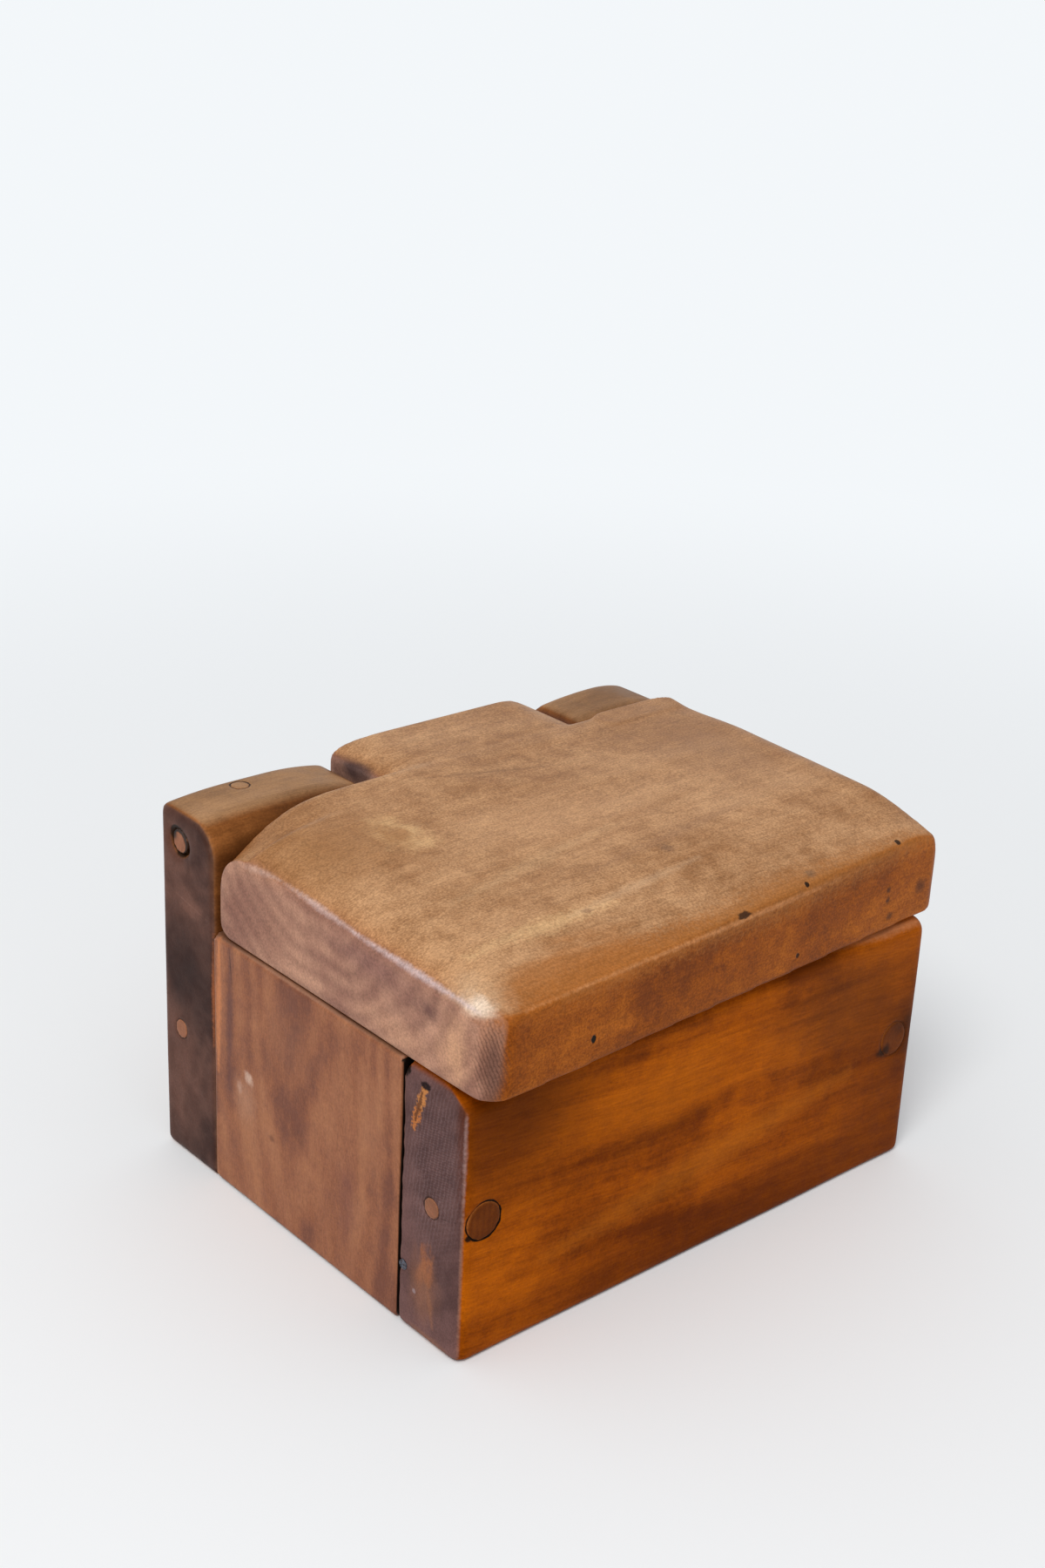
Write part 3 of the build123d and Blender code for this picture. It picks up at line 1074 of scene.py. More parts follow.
        colour = self.grown(graph, grain, patina, facing)
        pores = graph.maths("MULTIPLY", grain["Pores"], self.pore_share)
        colour = graph.mix(pores, colour, dimmed(self.dark, self.pore_tint))
        # worn edges, lightened with a painted highlight
        colour = graph.mix(graph.maths("MULTIPLY", wear_and_highlight["Wear And Highlight"], self.wear_and_highlight_share), colour, self.rubbed_and_highlight)
        dirt = graph.maths("MULTIPLY", wear_and_highlight["Dirt"], self.dirt_share)
        colour = graph.mix(dirt, colour, dimmed(self.dark, self.dirt_tint))

        height = graph.maths("MULTIPLY", grain["Fibres"], self.fibre_height)
        height = graph.plus(height, self.pore_height, grain["Pores"])
        height = graph.plus(height, self.mottle_height, patina["Mottle"])
        for mark in self.marks:
            mask = mark.mask(graph, place)
            colour = graph.mix(graph.maths("MULTIPLY", mask, mark.share), colour, mark.colour)
            if mark.sunk:
                depth = graph.maths("MULTIPLY", mask, mark.sunk * MM / self.bump_depth)
                height = graph.maths("SUBTRACT", height, depth)
        colour = graph.mix(1.0, colour, self.tooth(graph, grain, patina, facing), "MULTIPLY")

        rough = graph.maths("MULTIPLY", patina["Mottle"], self.rough_mottle)
        rough = graph.maths("ADD", rough, self.roughness - 0.5 * self.rough_mottle)
        smoother = graph.maths("MULTIPLY", wear_and_highlight["Wear And Highlight"], self.rough_wear)
        feeds = {
            "Base Color": colour,
            "Roughness": graph.maths("SUBTRACT", rough, smoother, clamp=True),
            "Specular IOR Level": self.specular,
            "Specular Tint": self.sheen,
        }
        return feeds, height


@dataclass(frozen=True)
class Iron(Finish):
    """A forged nail head, dark with a worn crown."""

    name: str = "forged_iron"
    dark: Colour = stain(42, 46, 54)
    bright: Colour = stain(104, 112, 126)
    rust: Colour = stain(92, 52, 34)
    hammer_stretch: Triple = (0.9, 0.9, 0.9)  # changes per millimetre
    hammer_band: Pair = (0.4, 0.65)
    rust_stretch: Triple = (1.7, 1.7, 1.7)
    rust_band: Pair = (0.52, 0.66)
    metallic: float = 0.8
    roughness: float = 0.45
    bump: float = 0.5
    bump_depth: float = 0.2 * MM

    def surface(self, graph: Graph, place: Socket) -> tuple[dict[str, object], Socket]:
        """Lays hammer marks and specks of rust.

        Args:
            graph: The material's graph.
            place: Places in millimetres.

        Returns:
            What feeds the shader, and the height of the bump.
        """
        hammered = graph.noise(place, self.hammer_stretch, 3.0, 0.6)["Fac"]
        colour = graph.mix(graph.span(hammered, *self.hammer_band), self.dark, self.bright)
        rusty = graph.pattern(place, self.rust_stretch, self.rust_band, 4.0, 0.7)
        colour = graph.mix(rusty, colour, self.rust)
        return {"Base Color": colour, "Metallic": self.metallic, "Roughness": self.roughness}, hammered


# ---------------------------------------------------------------------------
# Sub-assemblies
# ---------------------------------------------------------------------------


@dataclass
class Wall:
    """What the front and the back board share: dowels through the face and a cross pin from each end."""

    face: float  # outer face, along Y
    joint: float  # where the side boards meet it, along Y
    left: float
    right: float
    pin_depth: float  # of the cross pins, along Y
    peg_height: float = 50.0
    dowels: Pair = (-97.0, 94.0)
    dowel_radius: float = 6.5
    dowel_sunk: float = 0.45
    pin_radius: float = 3.5
    pin_length: float = 25.0
    pin_sunk: float = 0.4
    dowel_seam: float = 6.75  # radius of the dark line round a dowel's end
    pin_seam: float = 3.65

    def holes(self) -> list[Hole]:
        """Lists the holes of the dowels and the cross pins.

        Returns:
            The dowels' holes, then the pins'.
        """
        through = self.joint - self.face
        length, inward = abs(through), copysign(1.0, through)
        holes = []
        for x in self.dowels:
            mouth = (x, self.face, self.peg_height)
            holes.append(Hole(Axis.Y, mouth, inward, self.dowel_radius, length, self.dowel_sunk))
        for x in (self.left, self.right):
            mouth = (x, self.pin_depth, self.peg_height)
            inward = copysign(1.0, -x)
            holes.append(Hole(Axis.X, mouth, inward, self.pin_radius, self.pin_length, self.pin_sunk))
        return holes


@dataclass
class FrontWall(Wall):
    """The front board, with its worn rim and the joint that has opened behind it."""

    face: float = -83.5
    joint: float = -53.5
    left: float = -106.0
    right: float = 106.0
    pin_depth: float = -68.5

    def opened(self, points: Points) -> Points:
        """Draws the back edge away from its joint at the left end, along a ragged line that widens upwards.

        Args:
            points: Places in millimetres, one per row.

        Returns:
            The moved places.
        """
        high = points[:, 2]
        upright = points * (0.0, 0.0, 1.0)
        width = -0.35 + 0.35 * wander(upright, size=2.3, seed=5) + 0.2 * wander(upright, size=9.0, seed=7)
        width += 0.5 * ease(high, 89.0, 95.0) + 0.3 * ease(high, 40.0, 80.0)
        outer = ease(-points[:, 0], self.right - 7.0, self.right - 5.0)
        points[:, 1] -= width * (ease(self.joint - points[:, 1], 5.0, 0.6) * outer)
        return points

    def worn(self, points: Points) -> Points:
        """Wears the rim away at the left end, where the lid overhangs, and opens the joint.

        Args:
            points: Places in millimetres, one per row.

        Returns:
            The moved places.
        """
        under_lid = ease(points[:, 0], -78.0, -104.0)
        points = round_off(points, (Axis.Y, Axis.Z), (-62.0, 88.0), (-21.5, 8.0), under_lid)
        low = ease(points[:, 2], 12.0, 2.0)
        points = round_off(points, (Axis.X, Axis.Y), (-103.2, -80.7), (-2.8, -2.8), 0.6 + 0.4 * low)
        return self.opened(points)

    def finish(self) -> Wood:
        """Glossy orange-brown wood with dark end grain.

        Returns:
            The wood of the front board.
        """
        left, face, high = self.left, self.face, self.peg_height
        marks = (
            # the face, with painted shade at the top left, along the bottom and at the right end, and its rim
            # under the lid
            # painted shadow of the lid's overhang at the top left, with some stain
            Mark((-90, face, 84), (56, 6, 44), stain(80, 32, 3), 0.8, 0.95, 0.5),
            Mark((66, face, 72), (56, 6, 34), stain(104, 56, 20), 0.5, 0.95, 0.7),
            # painted shade along the bottom and at the right end
            Mark((20, face, -4), (150, 6, 40), stain(88, 35, 1), 0.8, 0.95, 0.6),
            Mark((100, face, 36), (60, 6, 80), stain(92, 38, 3), 0.65, 0.95, 0.6),
            Mark((-22, face, 68), (50, 6, 17), stain(180, 94, 12), 0.6, 0.95, 0.8),
            Run((-70, face, 26), (70, face, 44), 11, stain(176, 96, 20), 0.5, 0.95, 0.8),
            Run((-60, face, 47), (10, face, 58), 6, stain(100, 46, 6), 0.25),
            Run((58, -80, 95.5), (112, -82, 93.5), 3.6, stain(182, 116, 74), 0.8, 0.9, 0.7),
            # the left end and a shade by the right dowel: rasp lines, the open joint painted black for the
            # shade inside it, chips and stains
            Rasped((left, -69, 66), (3, 18, 40), (0, 0.62, 0.1), stain(132, 108, 108), 0.26, 0.1),
            Rasped((left, -70, 58), (3, 16, 40), (0, 0.3, 0.5), stain(120, 96, 96), 0.12, 0.1),
            Mark((99, face, 52), (13, 5, 20), stain(70, 34, 14), 0.6, 0.9, 0.8),
            # painted shade: black inside the open joint and at its widened top
            Mark((left, -53, 48), (30, 0.95, 300), BLACK, 1, 0.25, 0.2),
            Mark((left, -54.4, 93), (2, 2.2, 3.4), BLACK, 1, 0.4, 1, 0.5),
            Run((left, -64, 90), (left, -60.8, 81), 2.5, stain(190, 124, 70), 0.95, 0.4, 2.2, 0.7),
            Run((left, -61.2, 82.5), (left, -58.8, 74.5), 2.2, stain(186, 112, 60), 0.95, 0.4, 2.2, 0.7),
            Run((left, -62.6, 88), (left, -59.6, 77), 1.1, stain(84, 50, 34), 0.8, 0.4, 2.6),
            Mark((left, -64, 91), (2, 2.8, 1.5), stain(30, 22, 24), 0.95, 0.4, 0.6, 0.6),
            Run((left, -71.3, 48.3), (left, -79.3, 50.6), 0.28, BLACK, 0.8, 0.6, 0.5, 0.3),
            Run((left, -79.3, 50.6), (-103.5, -83.2, 52), 0.28, BLACK, 0.7, 0.6, 0.5, 0.3),
            Mark((left, -66.5, 28), (3, 4.6, 8.5), stain(164, 98, 60), 0.7, 0.8, 2.2),
            Mark((left, -63.5, 22.5), (2, 2.4, 4.5), stain(158, 96, 64), 0.6, 0.7, 1.7),
            Run((left, -67.5, 22), (left, -71, 7), 2, stain(150, 98, 70), 0.45, 0.9, 1.2),
            Mark((left, -61.3, 15.7), (2, 1.1, 1.1), stain(150, 140, 146), 0.7, 0.5, 0.4),
            Mark((left, -66, 20), (2, 10, 17), stain(146, 98, 72), 0.55, 0.95, 1),
            Mark((left, -69, 1.5), (3, 15, 3), stain(150, 104, 80), 0.5, 0.8, 0.9),
            # the corner between the end and the face: painted highlights along it, with rasp lines between
            # painted highlight along the rounded corner
            Run((-105.1, -82.6, 106), (-105.1, -82.6, -30), 1.2, stain(158, 120, 102), 0.7, 0.9, 0.7),
            Rasped((left, -70, 70), (3, 14, 22), (0, 0.25, 1.1), stain(72, 50, 52), 0.45, 0.15),
            # brighter painted highlight at the top of the corner
            Run((-104.9, -82.6, 100), (-104.9, -82.6, 52), 1.3, stain(174, 152, 152), 0.5),
            # round the pegs
            Ring((-97, face, high), (1, 0, 1), self.dowel_seam, BLACK, 0.42),
            Ring((94, face, high), (1, 0, 1), self.dowel_seam, SOOT, 0.45, 0.4),
            Ring((left, self.pin_depth, high), (0, 1, 1), self.pin_seam, SOOT, 0.3, 0.7),
            Mark((-102.6, face, 45.6), (1.8, 1.8, 1.4), BLACK, 0.95, 0.4, 0.5, 0.6),
            Mark((88.5, face, 46.5), (4.5, 3, 3), stain(40, 22, 12), 0.9, 0.7, 0.9),
            Mark((101, face, 55), (4, 3, 5), stain(66, 32, 14), 0.7, 0.9, 0.9),
        )
        return Wood(
            name="front_wood",
            grain=Axis.X,
            pith=(0.0, -10.0, 150.0),
            light=stain(176, 88, 6),
            middle=stain(148, 70, 3),
            dark=stain(106, 44, 0),
            # end grain: its own brown with a painted pale sheen, which makes it purple-grey
            end_light=stain(116, 84, 80),
            end_dark=stain(84, 60, 58),
            rubbed_and_highlight=stain(176, 112, 76),
            slant=-4.0,
            specular=0.04,
            sheen=(1.0, 0.5, 0.15),
            roughness=0.48,
            streak_share=0.38,
            line_share=0.24,
            fibre_share=0.13,
            tooth_share=0.05,
            marks=marks,
        )

    def build(self) -> list[bpy.types.Object]:
        """Makes the board and dresses it."""
        skin = Skin("front_board", Body.BOX, "front_wood", 1.0, 2, self.holes(), shape=self.worn)
        return [skin.build(self.finish().material())]


@dataclass
class BackWall(Wall):
    """The back board, whose ears hold the hinge pin."""

    face: float = 83.5
    joint: float = 51.0
    left: float = -106.0
    right: float = 110.0
    pin_depth: float = 72.5
    pin_height: float = 122.0  # of the hinge pin, which is as deep as the cross pins
    notch: Pair = (-36.5, 61.0)  # between the ears, along X
    lock: Hole = Hole(Axis.Z, (-78.0, 76.5, 135.0), -1.0, 3.25, 25.0, 0.35, 0.35)

    def holes(self) -> list[Hole]:
        """The holes of the dowels, the cross pins and the lock peg."""
        return [*super().holes(), self.lock]

    def worn(self, points: Points) -> Points:
        """Rounds the ears where hands take hold of them.

        Args:
            points: Places in millimetres, one per row.

        Returns:
            The moved places.
        """
        x = points[:, 0]
        tall = ease(points[:, 2], 116.0, 130.0)
        left_ear = 1.8 * bow(x, -80.0, self.left) + 3.4 * bow(x, -64.0, self.notch[0]) * (x < 0.0)
        right_ear = 2.6 * bow(x, 92.0, self.notch[1]) * (x > 0.0) + 3.4 * bow(x, 92.0, self.right)
        points[:, 2] -= tall * (left_ear + right_ear)
        return points

    def finish(self) -> Wood:
        """Brown wood with a tan top and a dark purple end.

        Returns:
            The wood of the back board.
        """
        left, face, depth, high = self.left, self.face, self.pin_depth, self.peg_height
        marks = (
            # the left end
            Mark((left, 67, 76), (3, 24, 30), stain(40, 19, 17), 0.95, 0.9, 0.7),
            Mark((left, 66, 100), (3, 10, 6), stain(124, 84, 70), 0.5, 0.8, 0.7),
            Run((left, 79, 103), (left, 55, 99), 0.5, stain(140, 100, 84), 0.35, 0.9, 0.8),
            Run((left, 51.6, 95), (left, 52, 52), 1.8, stain(160, 92, 56), 0.75, 0.8, 0.9),
            Run((left, 82.5, 118), (left, 82.5, 8), 2, stain(118, 86, 76), 0.35, 0.95, 0.7),
            # round the pegs
            Ring((left, depth, self.pin_height), (0, 1, 1), 5.2, BLACK, 0.8, 0.9, 0.4),
            Ring((left, depth, high), (0, 1, 1), self.pin_seam, SOOT, 0.3, 0.6),
            Ring(self.lock.mouth, (1, 1, 0), 3.4, SOOT, 0.5, 0.95),
            # the ears and their tops: painted shade where the left ear meets the tongue, and painted shadow
            # of the lid on the ears' front faces
            Mark((-38, 70, 132), (5, 12, 6), stain(70, 50, 40), 0.6, 0.9, 0.6),
            # painted shadow of the lid on the ears' front faces
            Mark((-70, 51, 116), (60, 6, 20), stain(78, 44, 22), 0.8, 0.9, 0.6),
            Mark((-66, 54, 124), (50, 7, 14), stain(92, 52, 22), 0.7, 0.95, 0.6),
            # the back
            *(Ring((x, face, high), (1, 0, 1), self.dowel_seam, SOOT, 0.42, 0.9) for x in self.dowels),
        )
        return Wood(
            name="back_wood",
            grain=Axis.X,
            pith=(0.0, 40.0, 30.0),
            light=stain(150, 92, 46),
            middle=stain(120, 70, 32),
            dark=stain(90, 50, 22),
            end_light=stain(98, 64, 53),
            end_dark=stain(60, 36, 31),
            rubbed_and_highlight=stain(178, 140, 118),
            faded=(stain(132, 94, 60), stain(172, 132, 94)),
            faded_share=0.8,
            faded_span=(0.84, 1.0),
            specular=0.08,
            sheen=(1.0, 0.75, 0.5),
            marks=marks,
        )

    def build(self) -> list[bpy.types.Object]:
        """Makes the board and dresses it."""
        skin = Skin("back_board", Body.BOX, "back_wood", 1.05, 2, self.holes(), shape=self.worn)
        return [skin.build(self.finish().material())]


@dataclass
class SideWalls:
    """The two side boards, with upright grain and a dowel through each, and the bottom board."""

    left: float = -106.0
    front: float = -51.5  # where the dowels' holes start, along Y
    hole_length: float = 103.0
    peg_height: float = 50.0
    dowel_radius: float = 6.5
    dowels: Pair = (-97.0, 94.0)

    def finish(self) -> Wood:
        """Reddish brown wood with upright grain.

        Returns:
            The wood of the side boards.
        """
        left = self.left
        marks = (
            # the left side, from the back to the front
            Run((left, 47.8, 99), (left, 49.2, 44), 2.5, stain(192, 118, 72), 0.85, 0.8, 0.8),
            Run((left, 41, 99), (left, 42.6, 40), 3.6, stain(88, 54, 52), 0.65, 0.95, 0.8),
            Run((left, 42, 95), (left, 40.3, 80), 0.3, BLACK, 0.6, 0.5, 0.4),
            Mark((left, 30.5, 49.5), (3, 3.4, 3.2), stain(206, 172, 152), 0.8, 0.85, 1.2),
            Mark((left, 36, 43.5), (3, 2.4, 3.4), stain(196, 158, 138), 0.6, 0.85, 1.1),
            Mark((left, 33, 40), (3, 9, 13), stain(170, 126, 102), 0.4),
            Mark((left, 16.9, 32.7), (3, 2.4, 2), stain(92, 52, 38), 0.55, 0.8, 0.8),
            Mark((left, -26, 30), (3, 8, 20), stain(104, 60, 58), 0.4),
            Mark((left, -38, 60), (3, 9, 34), stain(164, 110, 78), 0.4),
            Mark((left, 8, 74), (3, 16, 22), stain(132, 84, 62), 0.4, 0.95, 0.8),
            # painted shade: black inside the open joint at the front
            Mark((left, -52.6, 48), (30, 0.5, 300), BLACK, 1, 0.25, 0.2),
            Mark((left, -52.6, 94.5), (2, 1, 1.6), BLACK, 1, 0.4, 1, 0.5),
            Mark((left, 0, 95.6), (2, 60, 0.9), stain(176, 130, 105), 0.4, 0.6, 0.4),
        )
        return Wood(
            name="side_wood",
            grain=Axis.Z,
            pith=(0.0, 2.0, 70.0),
            light=stain(160, 104, 71),
            middle=stain(142, 87, 59),
            dark=stain(114, 66, 48),
            end_light=stain(132, 90, 64),
            end_dark=stain(98, 64, 46),
            rubbed_and_highlight=stain(170, 122, 96),
            ring_share=0.27,
            waver=12.0,
            sheen=(1.0, 0.85, 0.7),
            streak_share=0.34,
            slant=12.0,
            marks=marks,
        )

    def build(self) -> list[bpy.types.Object]:
        """Makes both boards and the bottom board, and dresses them.

        Returns:
            The finished boards.
        """
        upright = self.finish()
        changes = {"grain": Axis.X, "slant": 0.0, "pith": (0.0, 0.0, -60.0), "marks": ()}
        lengthways = replace(upright, name="bottom_wood", **changes)
        material = upright.material()
        pieces = []
        for node, x in zip(("left_side_board", "right_side_board"), self.dowels):
            hole = Hole(Axis.Y, (x, self.front, self.peg_height), 1.0, self.dowel_radius, self.hole_length)
            pieces.append(Skin(node, Body.BOX, "side_wood", 1.0, 1, [hole]).build(material))
        bottom = Skin("bottom_board", Body.BOX, "side_wood", 1.2, 1)
        return [*pieces, bottom.build(lengthways.material())]


@dataclass
class Lid:
    """The slab lid, worn to a soft loaf, with the tongue that turns on the hinge pin."""

    left: float = -106.0
    right: float = 111.5

    def worn(self, points: Points) -> Points:
        """Gives the lid the shape that years of hands gave it.

        Args:
            points: Places in millimetres, one per row.

        Returns:
            The moved places.
        """
        x = points[:, 0]
        to_left = bow(x, -62.0, self.left)
        points = round_off(points, (Axis.Y, Axis.Z), (33.0, 107.0), (15.9, 22.0), to_left)
        high = ease(points[:, 2], 108.0, 124.0)
        crown = ease(x, 84.0, 102.0) * high * ease(points[:, 1], -74.0, -52.0) * ease(points[:, 1], 30.0, 6.0)
        points[:, 2] += 1.1 * crown
        points[:, 2] -= 5.4 * bow(x, 90.0, self.right) * high * ease(points[:, 1], -50.0, -86.0)
        points[:, 2] -= 2.4 * bow(x, 88.0, 108.0) * high * ease(points[:, 1], 18.0, 44.0)
        rear = ease(points[:, 1], 34.0, 46.0) * ease(points[:, 2], 126.0, 134.0)
        points[:, 2] += 2.4 * rear * ease(x, 58.0, 66.0) * ease(x, 106.0, 92.0)
        facet = ease(points[:, 2], 90.0, 104.0)
        return plane_off(points, (-102.4, -89.6, 110.0), (-1.0, -0.9, 0.12), facet, softness=0.6)

    def finish(self) -> Wood:
        """Tan wood, worn pale on top, orange at the front and pink-brown at the end.

        Returns:
            The wood of the lid.
        """
        left = self.left
        hole = {"soft": 0.3, "ragged": 0.5, "sunk": 0.8}
        marks = (
            # the front edge, with a painted highlight along its ridge
            Run((-106, -92, 124), (-10, -87.5, 127.5), 12.5, stain(164, 92, 32), 0.9, 1, 1.1),
            Run((-76, -90.5, 126.5), (130, -81, 128), 12.5, stain(162, 102, 50), 0.85, 1, 1.1),
            Mark((-69, -84, 128.8), (43, 13.5, 9.5), stain(160, 98, 46), 0.8, 0.75, 1.5),
            # painted highlight along the ridge of the front bevel
            Run((-92, -92.2, 124.6), (140, -82.2, 124.8), 1.8, stain(198, 136, 88), 0.8),
            # the corner: a painted cream reflection of the bright background
            Mark((-99, -79, 127), (11, 17, 5), stain(204, 168, 132), 0.6),
            Mark((-103, -83, 125.5), (6.5, 9.5, 4.5), stain(212, 184, 160), 0.75, 0.95, 1.1),
            Mark((-102.6, -83.8, 125.6), (4.6, 7.2, 3.6), stain(234, 210, 186), 0.85, 0.95, 1.1),
            # the top, with painted highlights along the crest above the front bevel
            # painted highlight along the crest
            Run((-92, -66, 131), (-34, -66, 133.5), 6, stain(214, 172, 124), 0.7, 0.95, 1.6),
            Run((-78, -40, 134), (0, -28, 138), 6, stain(204, 164, 122), 0.35, 0.95, 1.1),
            # painted highlight along the crest
            Run((-52, -66, 133.5), (10, -60, 135), 3.5, stain(202, 164, 128), 0.4, 0.95, 1.1),
            Run((-30, -50, 136), (60, -40, 137), 4, stain(140, 102, 76), 0.35, 0.95, 1.1),
            Mark((-61.5, 8, 137.5), (11, 18, 5), stain(216, 174, 124), 0.8, 0.8, 1.5),
            Mark((-62.5, 7, 137.5), (7, 12, 5), stain(158, 110, 68), 0.85, 0.8, 1.4),
            Mark((84, 10, 138), (44, 60, 10), stain(148, 106, 74), 0.6, 0.95, 0.8),
            Mark((104, -30, 134), (20, 60, 14), stain(134, 92, 60), 0.5, 0.95, 0.8),
            Mark((-10, -14, 138), (52, 26, 8), stain(198, 152, 112), 0.4),
            Mark((-84, 16, 133), (34, 44, 14), stain(150, 102, 60), 0.75, 0.95, 0.8),
            # painted lilac-white reflection along the rounded edge above the left end
            Run((-104.6, 44, 126), (-104.4, 14, 129.5), 1.9, stain(196, 164, 150), 0.6),
            Run((-104.4, 16, 129.6), (-104.4, -28, 126.6), 1.9, stain(198, 172, 166), 0.65),
            Run((-104.4, -24, 126.6), (-104.1, -90, 124.7), 1.9, stain(202, 181, 180), 0.72),
            # dark spots on the top, then painted shade on the tongue's left end
            Run((-30, 36, 140), (20, 18, 139.6), 1.6, stain(124, 88, 60), 0.55, 0.95, 1),
            Mark((-90.6, 34, 135), (9, 4.5, 4), stain(104, 66, 42), 0.65, 0.95, 1.3),
            Mark((3.7, -51, 136.7), (3.6, 4.2, 3), stain(110, 78, 60), 0.55, 0.9, 1),
            Mark((-45.2, -66.3, 133.6), (3.2, 1.4, 3), stain(112, 78, 62), 0.5, 0.8, 1),
            # painted shade on the tongue's left end, beside the ear
            Mark((-35.4, 68, 134), (4, 16, 9), stain(54, 42, 46), 0.85, 0.8, 0.6),
            # worm holes and chips along the front
            Mark((-63, -91.3, 105.3), (1.2, 3, 1.6), BLACK, 1, **hole),
            Mark((85.6, -81.6, 129), (1.3, 1.3, 1.6), BLACK, 0.9, **hole),
            Mark((81.7, -83.3, 112.2), (1.7, 3, 1.9), stain(58, 32, 20), 0.8, 0.8, 0.6),
            Mark((81.9, -83.3, 108.2), (1.6, 3, 1.8), stain(58, 32, 20), 0.8, 0.8, 0.6),
            Mark((84, -83.2, 101.5), (2.4, 3, 2.2), stain(66, 38, 24), 0.7, 0.8, 0.7),
            Mark((100.3, -82.3, 108.4), (4.4, 3, 4), stain(78, 40, 24), 0.75, 0.85, 0.8),
            Mark((36.3, -85.2, 127.6), (1.2, 1.6, 1.2), BLACK, 0.95, **hole),
            Mark((41.1, -81.5, 128.7), (3.6, 2.4, 2), stain(112, 86, 66), 0.6, 0.8, 0.8),
            Mark((4.3, -87.6, 126.2), (3.6, 2.4, 1.6), stain(52, 32, 22), 0.9, 0.4, 1.1, 0.5),
            Mark((33.8, -86, 102.4), (1, 3, 1), BLACK, 0.9, **hole),
            # the left end
            Run((left, -15, 125.2), (left, -20.9, 100.6), 0.45, stain(112, 76, 66), 0.6, 0.8, 0.4),
            Mark((left, -77, 110), (3, 11, 18), stain(206, 156, 120), 0.75, 0.98, 1),
            Mark((left, 28, 110), (3, 34, 20), stain(132, 90, 76), 0.8, 0.95, 0.7),
            Mark((left, -36, 120), (3, 30, 8), stain(130, 90, 84), 0.45),
            Mark((left, -50, 103), (3, 26, 8), stain(190, 142, 112), 0.5),
            Mark((left, -64, 117), (2, 8.5, 5), stain(92, 60, 58), 0.75, 1, 0.9),
            # the lower edge, with a painted shadow line, and the rasped corner
            Run((-103, -93, 96.6), (112, -82.5, 96.6), 1.9, stain(116, 58, 18), 0.9, 0.7, 0.5),
            Mark((-102.5, -90.5, 108), (5, 6, 18), stain(112, 78, 66), 0.9, 0.8, 0.5),
            Rasped((-102.5, -90, 109), (7, 8, 17), (0.62, -0.56, 0.35), stain(80, 54, 46), 0.55, 0.25),
        )
        return Wood(
            name="lid_wood",
            grain=Axis.X,
            pith=(0.0, -5.0, 165.0),
            light=stain(166, 90, 24),
            middle=stain(142, 72, 14),
            dark=stain(116, 55, 10),
            end_light=stain(184, 138, 113),
            end_dark=stain(144, 102, 86),
            rubbed_and_highlight=stain(196, 156, 130),
            faded=(stain(152, 106, 67), stain(193, 148, 107)),
            faded_share=0.95,
            ring_width=7.0,
            waver=13.0,
            streak_share=0.30,
            ring_share=0.06,
            line_share=0.10,
            fibre_share=0.11,
            end_ring_share=0.2,
            cloud_share=0.36,
            mottle_share=0.36,
            speckle_share=0.18,
            tooth_share=0.15,
            wear_and_highlight_start=0.52,
            wear_and_highlight_full=0.585,
            specular=0.08,
            sheen=(1.0, 0.8, 0.6),
            marks=marks,
        )

    def build(self) -> list[bpy.types.Object]:
        """Makes the lid and dresses it."""
        skin = Skin("lid", Body.LID, "lid_wood", 1.05, 3, unevenness=0.38, swell=32.0, shape=self.worn)
        return [skin.build(self.finish().material())]


